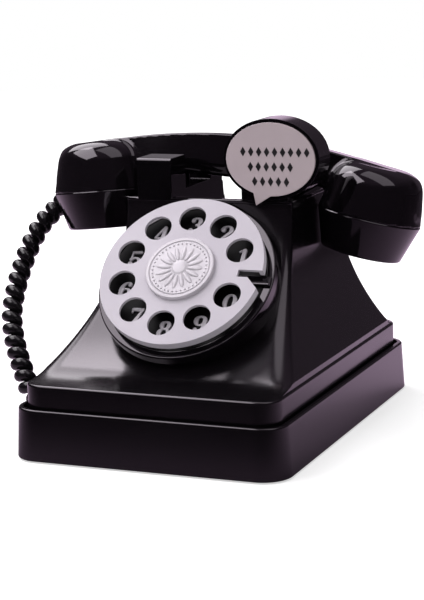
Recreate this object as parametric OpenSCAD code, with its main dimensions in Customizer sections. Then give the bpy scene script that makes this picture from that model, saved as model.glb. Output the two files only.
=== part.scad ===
/* [Base] */
// Width of the base tray at its foot
base_w = 150; // [140:1:170]
// Depth of the base tray at its foot
base_d = 212.4; // [200:0.2:230]
// Corner radius of the base tray at its foot
base_r = 14.8; // [10:0.2:18]
// Height of the base tray's rim above the table
tray_h = 27.1; // [25:0.1:32]
// Draft of the base tray's sides, per side
tray_draft = 1.5; // [0.5:0.1:2.5]
// Wall of the base tray
tray_wall = 2.6; // [2:0.1:3.4]
// Floor of the base tray
tray_floor = 2.4; // [2:0.1:4]
// Height that the feet stand proud of the tray
foot_proud = 0.5; // [0.3:0.1:1.5]
// Diameter of a rubber foot
foot_d = 12; // [8:0.5:16]
// Thickness of a rubber foot
foot_t = 1.9; // [1.5:0.1:2.4]

/* [Body] */
// Step from the tray's rim in to the upper tier, per side
tier_step = 4; // [3.4:0.1:6]
// Height of the upper tier's edge above the table
tier_top = 39; // [36:0.5:46]
// Corner radius of the upper tier
tier_r = 12; // [8:0.5:14]
// Rounding of the upper tier's edge
tier_edge = 1.2; // [0.6:0.1:2]
// Wall of the body shell
shell_wall = 2.5; // [2:0.1:3.5]
// Height of the deck above the table
deck_z = 123.6; // [118:0.2:132]
// Width of the deck
deck_w = 95; // [92:1:110]
// Front edge of the deck, from the middle of the base, forwards negative
deck_front = -13.5; // [-16:0.5:-10]
// Rear edge of the deck, from the middle of the base
deck_back = 58; // [56:1:66]
// Corner radius of the tower at the deck
deck_r = 3.5; // [2:0.5:6]
// Corner radius of the tower at its foot
tower_r = 10; // [6:0.5:12]
// Spread of the tower's sides down to the tier
side_flare = 22.8; // [16:0.2:26]
// Spread of the tower's front down to the tier
front_flare = 70.5; // [60:0.5:76]
// Spread of the tower's rear down to the tier
back_flare = 33.6; // [26:0.2:38]

/* [Cradle] */
// Thickness of the deck plate
deck_t = 2; // [1.6:0.1:3]
// Gap between the two ears
ear_gap = 40; // [36:1:44]
// Width of an ear
ear_w = 20; // [16:1:22]
// Depth of a front horn
front_horn = 19.5; // [14:0.5:22]
// Depth of a rear horn
rear_horn = 17; // [12:0.5:20]
// Clear depth of the saddle between the horns
saddle_d = 34; // [32:0.5:38]
// Height of the horns above the table
horn_z = 144.5; // [140:0.5:152]
// Height of the saddle floor above the table
saddle_z = 126.6; // [126.4:0.1:128]
// Wall of the ears
ear_wall = 2.2; // [1.6:0.1:3]
// Drop of the hand hold from the front of the deck to its rear
hold_drop = 11; // [8:0.5:12]

/* [Dial] */
// Distance of the dial's centre up the front, from the tier's edge
dial_up = 73.8; // [72:0.2:76]
// Height of the wheel's face above the line from the tier to the deck
dial_proud = 2.4; // [1.8:0.1:6]
// Lean of the dial past that line
dial_lean = 2.3; // [0:0.1:4]
// Diameter of the finger wheel
wheel_d = 89; // [84:0.5:90]
// Thickness of the finger wheel
wheel_t = 4.5; // [3.5:0.1:5.5]
// Thickness of the wheel's web inside its rim
web_t = 1.8; // [1.5:0.1:3]
// Diameter of the circle of finger holes
hole_circle_d = 64.2; // [60:0.2:66]
// Diameter of a finger hole
hole_d = 14.8; // [11:0.2:16]
// Width of the notch in the wheel
notch_w = 4.3; // [3:0.1:6]
// Diameter of the medallion
medal_d = 37; // [30:0.5:40]
// Thickness of the medallion
medal_t = 2.4; // [1.6:0.1:4]
// Drop from the wheel's face to the bezel's land
bezel_drop = 8.1; // [7.6:0.1:10]
// Outer diameter of the bezel
bezel_d = 96.4; // [94:0.2:98]
// Height of the bezel
bezel_h = 5.5; // [4.5:0.1:7]
// Thickness of the number plate
plate_t = 1.8; // [1.2:0.1:2]
// Diameter of the dial shaft
shaft_d = 8; // [6:0.5:9]
// Teeth of the drive gear
gear_teeth = 36; // [36:12:48]
// Teeth of the governor's pinion
pinion_teeth = 12; // [10:1:14]
// Module of the gears
gear_m = 1.2; // [1:0.05:1.25]

/* [Handset] */
// Distance of a cup's axis from the middle of the handset
cup_x = 76.6; // [76:0.2:80]
// Radius of a cup at its seam
cup_r = 27.9; // [26:0.1:28]
// Height of a cup above its seam
cup_h = 27; // [25:0.5:28]
// Inward tilt of a cup
cup_tilt = 9; // [6:0.5:12]
// Wall of a cup
cup_wall = 6; // [5:0.1:7]
// Depth of a cap below the seam
cap_h = 20.8; // [18:0.2:22]
// Radius of a cap's face
cap_r = 21.4; // [19:0.1:23]
// Radius of the handle's arch along its top
arch_r = 310; // [300:5:400]
// Height of the arch's top above the seams
arch_z = 37.3; // [36:0.1:38.5]
// Width of the flat along the handle's top
strip_w = 14; // [10:0.5:18]
// Greatest width of the handle
grip_w = 20; // [16:0.5:24]
// Height of the handle's section
grip_h = 20; // [18:0.5:21]
// Roll of the handset as it lies, right end down
handset_roll = 4; // [0:0.5:5]
// Yaw of the handset as it lies
handset_yaw = 3; // [0:0.5:4]
// Lean of the handset as it lies, top to the rear
handset_lean = 6; // [0:0.5:7]
// Distance that the handset lies behind the middle of its saddle
lie_back = 3.4; // [3:0.1:3.6]

/* [Cord] */
// Diameter of the cord
cord_d = 6.2; // [4:0.1:6.4]
// Radius of the curls, to the middle of the cord
curl_r = 3; // [3:0.1:4]
// Number of curls
curls = 18; // [14:1:19]

/* [Sign] */
// Width of the sign's plate
sign_w = 49.2; // [40:0.2:50]
// Height of the sign's plate without its tail
sign_h = 38.4; // [30:0.2:40]
// Depth of the sign's housing
sign_d = 17; // [14:0.5:17.5]
// Rim of the housing round the plate
sign_rim = 1.9; // [1:0.1:3]
// Middle of the sign, from the middle of the base
sign_x = 37.6; // [36:0.2:40]
// Thickness of the sign's plate
sign_t = 1.2; // [0.8:0.1:2]

/* [Fits] */
// Clearance of pieces that are held without touching
slack = 0.3; // [0.2:0.05:0.4]
// Radial clearance of running fits
fit = 0.05; // [0.02:0.01:0.08]
// Diameter of the screws
screw_d = 3; // [2.5:0.1:3.2]

/* [Hidden] */
$fn = 64;
black = [0.09, 0.08, 0.1];
silver = [0.86, 0.84, 0.88];
steel = [0.62, 0.63, 0.66];
brass = [0.76, 0.62, 0.32];
rubber = [0.16, 0.16, 0.17];
card = [0.65, 0.6, 0.61];
green = [0.12, 0.36, 0.22];
tray_hw = base_w / 2;
tray_hd = base_d / 2;
tray_z = foot_proud;
floor_z = tray_z + tray_floor;
seat_z = tray_h - 7;
tier_hw = tray_hw - tray_draft - tier_step;
tier_hd = tray_hd - tray_draft - tier_step;
shell_top = deck_z - deck_t;
top_wall = 2;
side_bend = 2.55;
front_bend = 2.07;
back_bend = 1.35;
front_toe = tier_hd - tier_edge + deck_front - front_flare;
back_toe = tier_hd - tier_edge - deck_back - back_flare;
toe_h = 1.2;
arc_n = 5;
levels = 17;
post_d = 9;
post_x = tier_hw - 12.5;
post_y = 70;
post_bite = 12;
foot_x = tray_hw - 17;
foot_y = tray_hd - 16;
head_d = 2 * screw_d;
head_t = 2;
head_z = floor_z + 1.6;
hold_in = -deck_front - 9.5;
chord = [deck_front + tier_hd, deck_z - tier_top];
chord_a = atan2(chord[1], chord[0]);
dial_tilt = chord_a + dial_lean;
dial_y = -tier_hd + dial_up * cos(chord_a) - dial_proud * sin(chord_a);
dial_z = tier_top + dial_up * sin(chord_a) + dial_proud * cos(chord_a);
wheel_r = wheel_d / 2;
bezel_r = bezel_d / 2;
bezel_z = -bezel_drop - bezel_h;
plate_z = -bezel_drop - 0.3;
bore_r = wheel_r + 0.4;
turret_r = bezel_r - 0.6;
turret_l = 30;
bore_deep = 20;
land_r = wheel_r - 0.7;
ledge_r = land_r - 5.8;
hole_first = 25;
hole_step = (360 - 2 * hole_first) / 9;
frame_t = 2;
frame_z = bezel_z - frame_t;
frame_r = bore_r - 3;
pin_r = 1;
pin_head = 1.6;
pin_in = 2;
hub_r = shaft_d / 2 + 4;
hub_h = 3;
wheel_rim = 2.4;
bush_rim = 1;
bush_t = 1.6;
bush_h = 4;
bush_z = bezel_z + bush_t;
gear_z = frame_z - bush_h - 4.4;
gear_t = 3;
cam_t = 2.4;
cam_rim = 2.5;
cam_lobe = 4.4;
contact_w = 8;
contact_gap = 3.4;
leaf_t = 0.6;
leaf_gap = 4;
cam_z = gear_z - 0.6 - cam_t;
spring_z = cam_z - 5;
spring_h = 3.5;
shaft_z = spring_z - 1;
gear_r = gear_m * gear_teeth / 2;
pinion_r = gear_m * pinion_teeth / 2;
gear_gap = gear_r + pinion_r + 0.2;
anchor_x = gear_r + gear_m + 2.2;
anchor_r = 2;
post_r = 1.5;
fly_z = gear_z - 7;
fly_t = 4;
fly_r = 4;
fly_x = 6;
fly_w = 5;
// Shift that centres the tilted handset over the base
handset_x = -0.1;
handset_y = deck_front + front_horn + saddle_d / 2 + lie_back;
bar_low = arch_z - grip_h;
bar_x = ear_gap / 2 + ear_w / 2;
rest_x = ear_gap / 2 + ear_w;
// Height of the handle's underside in the handset's own frame
function bar_under(x) = let (r = arch_r - grip_h) bar_low - r + sqrt(r * r - x * x);
bar_flat = grip_w / 2 - 3.5;
handset_z = saddle_z + slack + 0.1 - bar_under(rest_x) * cos(handset_roll) + rest_x * sin(handset_roll)
    + bar_flat * sin(handset_lean);
cup_bore = cup_r - cup_wall;
cup_depth = 17;
cup_taper = 3;
shoulder = 12;
spigot_r = cup_bore - 0.2;
spigot_w = 2;
spigot_h = 5;
capsule_t = 2;
receiver_r = 14;
receiver_h = 8;
microphone_r = 9;
microphone_h = 7;
plunger_d = 7;
plunger_x = -bar_x;
plunger_top = handset_z - slack - 0.2 - plunger_x * sin(handset_roll)
    + bar_under(plunger_x) * cos(handset_roll) - plunger_d / 2 * sin(handset_lean);
bracket_z = shell_top - top_wall - 21;
bracket_t = 2;
bracket_side = 4;
bracket_d = 18;
bracket_leg = 1.5;
switch_h = 16;
switch_d = 10;
switch_gap = 1.5;
switch_slot = 5;
collar_z = bracket_z + bracket_t + 12;
collar_t = 2;
collar_d = plunger_d + 4;
hook_wire = 0.9;
hook_turns = 6;
sign_z = deck_z + sign_h / 2 + sign_rim + 0.9;
sign_y = deck_front - 1.5;
boot_d = 8;
boot_l = 9;
boot_turn = 150;
boot_dip = 140;
boot_rise = 10.5;
boot_base_y = -46;
boot_base_z = 14;
boot_base_l = 7;
route_mid = [[-111, 27, 109], [-115, 18, 102], [-119, 10, 91], [-121, 0, 77], [-120, -12, 62],
    [-117, -20, 51], [-110, -29, 39], [-102, -37, 29], [-95, -43, 20]];

// Points of a rounded rectangle at one height, counter-clockwise
function ring(w, front, back, r, z) = [for (c = [0:3], k = [0:arc_n])
    let (a = 90 * c + 90 * k / arc_n,
         x = (c == 0 || c == 3) ? w - r : r - w,
         y = c < 2 ? back - r : front + r)
    [x + r * cos(a), y + r * sin(a), z]];

// Skin over rings that have the same number of points
module skin(rings) {
    n = len(rings[0]);
    m = len(rings);
    sides = [for (i = [0:m - 2], j = [0:n - 1])
        let (a = i * n + j, b = i * n + (j + 1) % n) each [[a, a + n, b + n], [a, b + n, b]]];
    foot = [for (j = [1:n - 2]) [0, j, j + 1]];
    head = [for (j = [1:n - 2]) [(m - 1) * n, (m - 1) * n + j + 1, (m - 1) * n + j]];
    polyhedron([for (r = rings) each r], concat(foot, head, sides), convexity = 8);
}

// Flare of the tower: 0 at the deck, 1 at the tier
function flare(z) = max(0, (deck_z - z) / (deck_z - tier_top));
function toe(z) = exp(-(z - tier_top) / toe_h);
function half_w(z) = min(deck_w / 2 + side_flare * pow(flare(z), side_bend), tier_hw - tier_edge);
function front_y(z) = deck_front - front_flare * pow(flare(z), front_bend) - front_toe * toe(z);
function back_y(z) = deck_back + back_flare * pow(flare(z), back_bend) + back_toe * toe(z);
function corner_r(z) = deck_r + (tower_r - deck_r) * pow(flare(z), 1.5);
function level(i) = tier_top + (shell_top - tier_top) * pow(i / levels, 2.2);

// Rings of the shell, drawn in by a wall and lowered by a top wall for its inside
function tier_ring(z, inset) =
    ring(tier_hw - inset, inset - tier_hd, tier_hd - inset, tier_r - inset, z);
function shell_rings(inset, drop, low) = concat(
    [tier_ring(low, inset), tier_ring(tier_top - tier_edge - drop, inset),
     tier_ring(tier_top - 0.3 * tier_edge - drop, inset + 0.3 * tier_edge)],
    [for (i = [0:levels]) let (z = level(i))
        ring(half_w(z) - inset, front_y(z) + inset, back_y(z) - inset,
            max(1, corner_r(z) - inset), z - drop)]);

// Frame of the dial: face centre at the origin, face looking along +Z
module on_dial() {
    translate([0, dial_y, dial_z]) rotate([dial_tilt, 0, 0]) children();
}

// Frame of the handset as it lies on the cradle
module on_handset() {
    translate([handset_x, handset_y, handset_z]) rotate([0, 0, handset_yaw])
        rotate([0, handset_roll, 0]) translate([0, 0, bar_low]) rotate([-handset_lean, 0, 0])
            translate([0, 0, -bar_low]) children();
}

// Frame of a cup: seam at the origin, side -1 is the ear's and 1 the mouth's
module on_cup(side) {
    translate([side * cup_x, 0, 0]) rotate([0, side * cup_tilt, 0]) children();
}

module at_posts() {
    for (x = [-post_x, post_x], y = [-post_y, post_y]) translate([x, y, 0]) children();
}

module at_feet() {
    for (x = [-foot_x, foot_x], y = [-foot_y, foot_y]) translate([x, y, 0]) children();
}

module tube(outer, inner, h) {
    rotate_extrude() translate([inner, 0]) square([outer - inner, h]);
}

// Pan-head screw with its head's face at the origin, shank along +Z
module screw(d, l) {
    translate([0, 0, -head_t]) cylinder(d = 2 * d, h = head_t);
    cylinder(d = d, h = l);
}

// Rings of the tray, drawn in by a wall
function tray_ring(z, inset) = let (in = inset + tray_draft * (z - tray_z) / (tray_h - tray_z))
    ring(tray_hw - in, in - tray_hd, tray_hd - in, base_r - in, z);

board = [90, 56, 1.6];
board_y = 52;
board_z = floor_z + 6;
stand_d = 7;
stand_in = 6;
chip = [24, 14, 4];
chip_x = 12;
can_d = 8;
can_h = 9;
module at_stands() {
    for (x = [-1, 1], y = [-1, 1])
        translate([x * (board[0] / 2 - stand_in), board_y + y * (board[1] / 2 - stand_in), 0]) children();
}

socket = [14, 16, 12];
socket_x = 40;
socket_z = 7.5;
nose = [11.6, 9.6];
nose_z = socket_z + socket[2] / 2 - nose[1] / 2;
nose_wall = 1.6;
function tray_y(z) = tray_hd - tray_draft * (z - tray_z) / (tray_h - tray_z);

module base_tray() {
    rim = 1;
    color(black) difference() {
        union() {
            difference() {
                skin([tray_ring(tray_z, 0), tray_ring(tray_h - rim, 0),
                    tray_ring(tray_h - 0.3 * rim, 0.3 * rim), tray_ring(tray_h, rim)]);
                skin([tray_ring(floor_z, tray_wall), tray_ring(tray_h + 1, tray_wall)]);
            }
            at_posts() translate([0, 0, floor_z - 0.5]) cylinder(d = post_d, h = seat_z - floor_z + 0.5);
            at_stands() translate([0, 0, floor_z - 0.5]) cylinder(d = stand_d, h = board_z - floor_z + 0.5);
        }
        at_posts() translate([0, 0, -1]) cylinder(r = screw_d / 2 + fit, h = tray_h);
        at_posts() translate([0, 0, -1]) cylinder(d = head_d + 2 * slack, h = head_z + 1);
        at_feet() translate([0, 0, -1]) cylinder(d = foot_d + 2 * slack, h = foot_t + 1);
        translate([socket_x - nose[0] / 2 - slack, tray_hd - 12, nose_z - slack])
            cube([nose[0] + 2 * slack, 24, nose[1] + 2 * slack]);
        translate([-tray_hw - 12, boot_base_y, boot_base_z]) rotate([0, 90, 0])
            cylinder(r = boot_d / 2 + fit, h = 24);
    }
}

module rubber_feet() {
    color(rubber) at_feet() cylinder(d = foot_d, h = foot_t);
}

module base_screws() {
    color(steel) at_posts() translate([0, 0, head_z]) screw(screw_d, seat_z - head_z + post_bite - 2);
}

ballast = [90, 46, 4];
ballast_y = -66;
module ballast_plate() {
    color(steel) translate([-ballast[0] / 2, ballast_y - ballast[1] / 2, floor_z]) cube(ballast);
}

module circuit_board() {
    color(green) difference() {
        union() {
            translate([-board[0] / 2, board_y - board[1] / 2, board_z]) cube(board);
            translate([-chip[0] / 2 - chip_x, board_y - chip[1] / 2, board_z]) cube(chip + [0, 0, board[2]]);
            translate([chip_x, board_y, board_z]) cylinder(d = can_d, h = board[2] + can_h);
        }
        at_stands() translate([0, 0, board_z - 1]) cylinder(d = stand_d / 2, h = board[2] + 2);
    }
}

ringer_d = 46;
ringer_h = 9;
ringer_y = -12;
magnet_d = 27.6;
magnet_h = 6;
module ringer() {
    color(rubber) translate([0, ringer_y, floor_z]) difference() {
        union() {
            cylinder(d = ringer_d, h = ringer_h);
            cylinder(d = magnet_d, h = ringer_h + magnet_h);
        }
        translate([0, 0, -1]) cylinder(d = ringer_d - ringer_h, h = ringer_h / 3 + 1);
    }
}

module line_socket() {
    wall_y = tray_y(socket_z) - tray_wall - slack - 0.6;
    color(rubber) difference() {
        union() {
            translate([socket_x - socket[0] / 2, wall_y - socket[1], socket_z]) cube(socket);
            translate([socket_x - nose[0] / 2, wall_y - 1, nose_z])
                cube([nose[0], tray_wall + 1, nose[1]]);
        }
        translate([socket_x - nose[0] / 2 + nose_wall, wall_y - 11, nose_z + nose_wall])
            cube([nose[0] - 2 * nose_wall, 30, nose[1] - 2 * nose_wall]);
    }
    color(rubber) translate([socket_x - socket[0] / 2, wall_y - socket[1], floor_z])
        cube([socket[0], socket[1] / 4, socket_z - floor_z]);
}

// Side outline of the hand hold between the ears, in depth and height
hold_y = deck_front + hold_in;
hold_z = deck_z - hold_drop;
hold_end = back_y(hold_z) - slack;
hold_wall = 1.6;
hold_low = deck_z - hold_drop * (hold_end - hold_y) / (deck_back - hold_y);
hold_under = hold_low - deck_t;

module body_shell() {
    color(black) difference() {
        union() {
            difference() {
                union() {
                    skin(shell_rings(0, 0, seat_z));
                    on_dial() translate([0, 0, -turret_l])
                        cylinder(r = turret_r, h = turret_l + bezel_z, $fn = 128);
                }
                skin(shell_rings(shell_wall, top_wall, seat_z - 1));
            }
            intersection() {
                at_posts() translate([0, 0, seat_z]) cylinder(d = post_d, h = deck_z);
                skin(shell_rings(0.5, 0.5, seat_z));
            }
        }
        at_posts() translate([0, 0, seat_z - 1]) cylinder(r = screw_d / 2 + fit, h = post_bite + 1);
        on_dial() translate([0, 0, -turret_l - bore_deep])
            cylinder(r = bore_r, h = turret_l + 2 * bore_deep, $fn = 128);
        on_dial() translate([0, 0, bezel_z]) cylinder(r = bezel_r + slack, h = bezel_h + slack, $fn = 128);
        at_cradle_screws() translate([0, 0, shell_top - 2 * top_wall])
            cylinder(r = screw_d / 2 + fit, h = 4 * top_wall);
        at_sign_screws() translate([0, 0, shell_top - 2 * top_wall])
            cylinder(r = screw_d / 2 + fit, h = 4 * top_wall);
        translate([plunger_x, handset_y, shell_top - 2 * top_wall]) cylinder(d = collar_d, h = 4 * top_wall);
        slab(-ear_x - hold_wall - slack, ear_x + hold_wall + slack) polygon([[hold_y - slack, 2 * deck_z],
            [hold_y - slack, deck_z - deck_t - slack], [hold_end, hold_under - slack],
            [2 * deck_back, hold_under - slack], [2 * deck_back, 2 * deck_z]]);
    }
}

ear_x = ear_gap / 2;
saddle_y = deck_front + front_horn;
rear_y = saddle_y + saddle_d;
ear_back = rear_y + rear_horn;
screw_y = [deck_front + front_horn / 2, rear_y + rear_horn / 2];
module at_cradle_screws() {
    translate([-bar_x, screw_y[0], 0]) children();
    translate([-bar_x, screw_y[1], 0]) children();
    translate([bar_x, screw_y[1], 0]) children();
}

sign_edge = 1.5;
sign_foot = [deck_w / 2 - sign_edge - ear_x, 15];
sign_screw_in = 5;
module at_sign_screws() {
    spread = sign_foot[0] / 2 - sign_screw_in;
    for (x = [-spread, spread])
        translate([ear_x + sign_foot[0] / 2 + x, deck_front + sign_foot[1] / 2, 0]) children();
}

// Side outline of an ear, drawn in by a wall, with a front horn or without
module ear_side(horned, inset, low) {
    horn = [[deck_front + inset, low], [deck_front + inset, horn_z - inset],
        [saddle_y - inset, horn_z - inset], [saddle_y - inset, saddle_z - inset]];
    plain = [[saddle_y + inset, low], [saddle_y + inset, saddle_z - inset]];
    polygon(concat(horned ? horn : plain, [[rear_y + inset, saddle_z - inset],
        [rear_y + inset, horn_z - inset], [ear_back - inset, horn_z - inset], [ear_back - inset, low]]));
}

// Slab in depth and height, from one width to another
module slab(x0, x1) {
    translate([x0, 0, 0]) rotate([90, 0, 90]) linear_extrude(x1 - x0) children();
}

module ear(x0, horned) {
    difference() {
        slab(x0, x0 + ear_w) ear_side(horned, 0, deck_z - 0.1);
        slab(x0 + ear_wall, x0 + ear_w - ear_wall) ear_side(horned, ear_wall, deck_z - 1);
    }
}

module cradle() {
    boss_h = 10;
    color(black) difference() {
        union() {
            difference() {
                translate([0, 0, shell_top]) linear_extrude(deck_t) polygon(
                    [for (p = ring(half_w(deck_z), deck_front, deck_back, deck_r, 0)) [p[0], p[1]]]);
                translate([-ear_x - 0.1, hold_y, 0]) cube([ear_gap + 0.2, deck_back * 2, 2 * deck_z]);
                translate([-ear_x - ear_w + ear_wall, deck_front + ear_wall, 0])
                    cube([ear_w - 2 * ear_wall, ear_back - deck_front - 2 * ear_wall, 2 * deck_z]);
                translate([ear_x + ear_wall, saddle_y + ear_wall, 0])
                    cube([ear_w - 2 * ear_wall, ear_back - saddle_y - 2 * ear_wall, 2 * deck_z]);
            }
            ear(-ear_x - ear_w, true);
            ear(ear_x, false);
            slab(-ear_x - 0.1, ear_x + 0.1) polygon([[hold_y, deck_z], [hold_end, hold_low],
                [hold_end, hold_under], [hold_y, deck_z - deck_t]]);
            for (x = [-ear_x - hold_wall, ear_x]) slab(x, x + hold_wall) polygon([[hold_y, deck_z],
                [deck_back, deck_z], [hold_end, hold_under], [hold_y, deck_z - deck_t]]);
            at_cradle_screws() translate([0, 0, shell_top]) cylinder(d = post_d, h = boss_h);
            translate([-bar_x - ear_w / 2 + 1, screw_y[0] - 0.8, shell_top]) cube([ear_w - 2, 1.6, boss_h]);
            for (x = [-bar_x, bar_x]) translate([x - ear_w / 2 + 1, screw_y[1] - 0.8, shell_top])
                cube([ear_w - 2, 1.6, boss_h]);
        }
        at_cradle_screws() translate([0, 0, shell_top - 1]) cylinder(r = screw_d / 2 + fit, h = boss_h - 2);
        at_sign_screws() translate([0, 0, shell_top - 1]) cylinder(r = screw_d / 2 + fit, h = 9);
        translate([plunger_x, handset_y, saddle_z - 10]) cylinder(r = plunger_d / 2 + fit, h = 20);
    }
}

module cradle_screws() {
    color(steel) at_cradle_screws() translate([0, 0, shell_top - top_wall]) screw(screw_d, 6);
}

module hook_plunger() {
    tip = bracket_z - 1.5;
    color(rubber) translate([plunger_x, handset_y, 0]) {
        translate([0, 0, tip]) cylinder(d = plunger_d, h = plunger_top - 1.5 - tip);
        translate([0, 0, plunger_top - 1.5]) cylinder(d1 = plunger_d, d2 = plunger_d - 3, h = 1.5);
        translate([0, 0, collar_z]) cylinder(d = collar_d, h = collar_t);
    }
}

// Tube along a list of points, drawn from a list of tangents
function unit(v) = v / norm(v);
function sweep(points, r, sides) = [for (i = [0:len(points) - 1])
    let (a = points[max(0, i - 1)], b = points[min(len(points) - 1, i + 1)], t = unit(b - a),
         u = unit(cross(t, [0.12, 0.99, 0.07])), v = cross(t, u))
    [for (k = [0:sides - 1]) points[i] + r * (cos(360 * k / sides) * u + sin(360 * k / sides) * v)]];

module hook_spring() {
    low = bracket_z + bracket_t + hook_wire / 2 + 0.1;
    high = collar_z - hook_wire / 2 - 0.1;
    r = plunger_d / 2 + 1.2;
    steps = hook_turns * 8;
    coil = [for (i = [0:steps]) [r * cos(45 * i), r * sin(45 * i), low + (high - low) * i / steps]];
    color(steel) translate([plunger_x, handset_y, 0]) skin([for (i = [0:steps])
        let (a = 45 * i, out = [cos(a), sin(a), 0])
        [for (k = [0:5]) coil[i] + hook_wire / 2 * (cos(60 * k) * out - sin(60 * k) * [0, 0, 1])]]);
}

bracket_w = plunger_d + 2 * bracket_side;
module hook_bracket() {
    color(steel) translate([plunger_x, handset_y, bracket_z]) difference() {
        union() {
            translate([-bracket_w / 2, -bracket_d / 2, 0]) cube([bracket_w, bracket_d, bracket_t]);
            for (x = [-bracket_w / 2, bracket_w / 2 - bracket_leg]) translate([x, -bracket_d / 2, 0])
                cube([bracket_leg, bracket_d, shell_top - top_wall - bracket_z]);
        }
        translate([0, 0, -1]) cylinder(r = plunger_d / 2 + fit, h = bracket_t + 2);
    }
}

// Leaf switch under the bracket, open where the plunger's tip comes down
module hook_switch() {
    slot_w = plunger_d + 2 * switch_gap;
    color(rubber) translate([plunger_x, handset_y, bracket_z - switch_h]) difference() {
        translate([-bracket_w / 2, -switch_d / 2, 0]) cube([bracket_w, switch_d, switch_h]);
        translate([-slot_w / 2, -switch_d, switch_h - switch_slot]) cube([slot_w, 2 * switch_d, switch_h]);
    }
}

module dial_bezel() {
    spigot_z = bezel_z - 5;
    edge = 0.8;
    color(black) on_dial() difference() {
        rotate_extrude($fn = 128) polygon([[ledge_r, bezel_z], [bore_r - 2.4, bezel_z],
            [bore_r - 2.4, spigot_z], [bore_r - slack, spigot_z], [bore_r - slack, bezel_z],
            [bezel_r, bezel_z],
            [bezel_r, -bezel_drop - edge], [bezel_r - edge, -bezel_drop], [land_r, -bezel_drop],
            [land_r, plate_z - plate_t], [ledge_r, plate_z - plate_t]]);
        at_dial_screws() translate([0, 0, bezel_z - 1]) cylinder(r = pin_r + fit, h = 1 + pin_in + fit);
    }
}

module at_dial_screws() {
    for (k = [0:2]) rotate(30 + 120 * k) translate([ledge_r + 2, 0, 0]) children();
}

module number_plate() {
    color(black) on_dial() translate([0, 0, plate_z - plate_t]) tube(land_r - slack, hub_r + 1.5, plate_t);
}

module finger_stop() {
    inner = hole_circle_d / 2 - 1;
    color(black) on_dial() intersection() {
        translate([0, 0, -bezel_drop]) union() {
            translate([inner, -2.6, 0]) cube([bezel_r, 5.2, 2]);
            translate([inner, 0, 0]) cylinder(d = 5.2, h = 2);
        }
        translate([0, 0, -20]) cylinder(r = bezel_r - 1, h = 40, $fn = 128);
    }
}

module dial_frame() {
    color(steel) on_dial() difference() {
        union() {
            translate([0, 0, frame_z]) cylinder(r = frame_r, h = frame_t);
            translate([-anchor_x, 0, spring_z - 0.5]) cylinder(r = anchor_r, h = frame_z - spring_z + 0.6);
        }
        translate([0, 0, frame_z - 1]) cylinder(r = hub_r - bush_rim + fit, h = frame_t + 2);
        at_dial_screws() translate([0, 0, frame_z - 1]) cylinder(r = pin_r + fit, h = frame_t + 2);
    }
}

module dial_screws() {
    color(steel) on_dial() at_dial_screws() translate([0, 0, frame_z]) {
        translate([0, 0, -pin_head]) cylinder(r = pin_r + pin_head / 2, h = pin_head);
        cylinder(r = pin_r, h = frame_t + pin_in);
    }
}

module dial_bush() {
    color(brass) on_dial() difference() {
        union() {
            translate([0, 0, frame_z - bush_h]) cylinder(r = hub_r - bush_rim, h = frame_t + bush_h);
            translate([0, 0, bezel_z]) cylinder(r = hub_r + bush_rim, h = bush_t);
        }
        translate([0, 0, frame_z - 2 * bush_h]) cylinder(r = shaft_d / 2 + fit, h = 4 * bush_h);
    }
}

module dial_shaft() {
    collar_low = bush_z + 0.2;
    collar_high = -wheel_t - hub_h - 0.1;
    color(steel) on_dial() {
        translate([0, 0, shaft_z]) cylinder(d = shaft_d, h = -1.5 - shaft_z);
        translate([0, 0, collar_low]) cylinder(r = shaft_d / 2 + 2, h = collar_high - collar_low);
    }
}

// Notch of the wheel: a slot that opens to the rim along a slanted lower side
module notch() {
    inner = hole_circle_d / 2 - 0.6;
    bend = inner + 5.8;
    low = -notch_w / 2 - 0.2;
    polygon([[inner, -low - 0.4], [inner, low], [bend, low], [bend + 12, low - 12], [bend + 12, -low - 0.4]]);
}

module finger_wheel() {
    edge = 0.6;
    color(silver) on_dial() difference() {
        union() {
            rotate_extrude($fn = 128) polygon([[0, -web_t], [wheel_r - wheel_rim, -web_t],
                [wheel_r - wheel_rim, -wheel_t], [wheel_r - edge, -wheel_t], [wheel_r, edge - wheel_t],
                [wheel_r, -edge], [wheel_r - edge, 0], [0, 0]]);
            translate([0, 0, -wheel_t - hub_h]) cylinder(r = hub_r, h = hub_h + wheel_t - web_t / 2);
        }
        translate([0, 0, -wheel_t - hub_h - 1]) cylinder(r = shaft_d / 2 + fit, h = wheel_t + hub_h - 0.4);
        for (k = [0:9]) rotate(hole_first + k * hole_step) translate([hole_circle_d / 2, 0, -wheel_t - 1])
            cylinder(d = hole_d, h = wheel_t + 2);
        translate([0, 0, -wheel_t - 1]) linear_extrude(wheel_t + 2) notch();
    }
}

module dial_medallion() {
    r = medal_d / 2;
    ring_r = 0.88 * r;
    cut = 0.4;
    color(silver) on_dial() rotate_extrude($fn = 96) polygon([[0, 0], [r, 0], [r, medal_t - cut],
        [r - cut, medal_t], [ring_r, medal_t], [ring_r - 0.3, medal_t - cut], [ring_r - 0.9, medal_t - cut],
        [ring_r - 1.2, medal_t], [0, medal_t]]);
}

// Outline of a gear with slim straight-flanked teeth
function gear_outline(teeth, phase) = let (r = gear_m * teeth / 2, p = 360 / teeth)
    [for (i = [0:teeth - 1], q = [[-0.28, -1.2], [-0.12, 0.8], [0.12, 0.8], [0.28, -1.2]])
        let (a = phase + p * (i + q[0]), d = r + gear_m * q[1]) d * [cos(a), sin(a)]];

module drive_gear() {
    color(brass) on_dial() difference() {
        translate([0, 0, gear_z]) linear_extrude(gear_t) polygon(gear_outline(gear_teeth, -90));
        translate([0, 0, gear_z - 1]) cylinder(r = shaft_d / 2 + fit, h = gear_t + 2);
        for (k = [0:4]) rotate(72 * k) translate([0.6 * gear_r, 0, gear_z - 1])
            cylinder(r = 0.22 * gear_r, h = gear_t + 2);
    }
}

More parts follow.
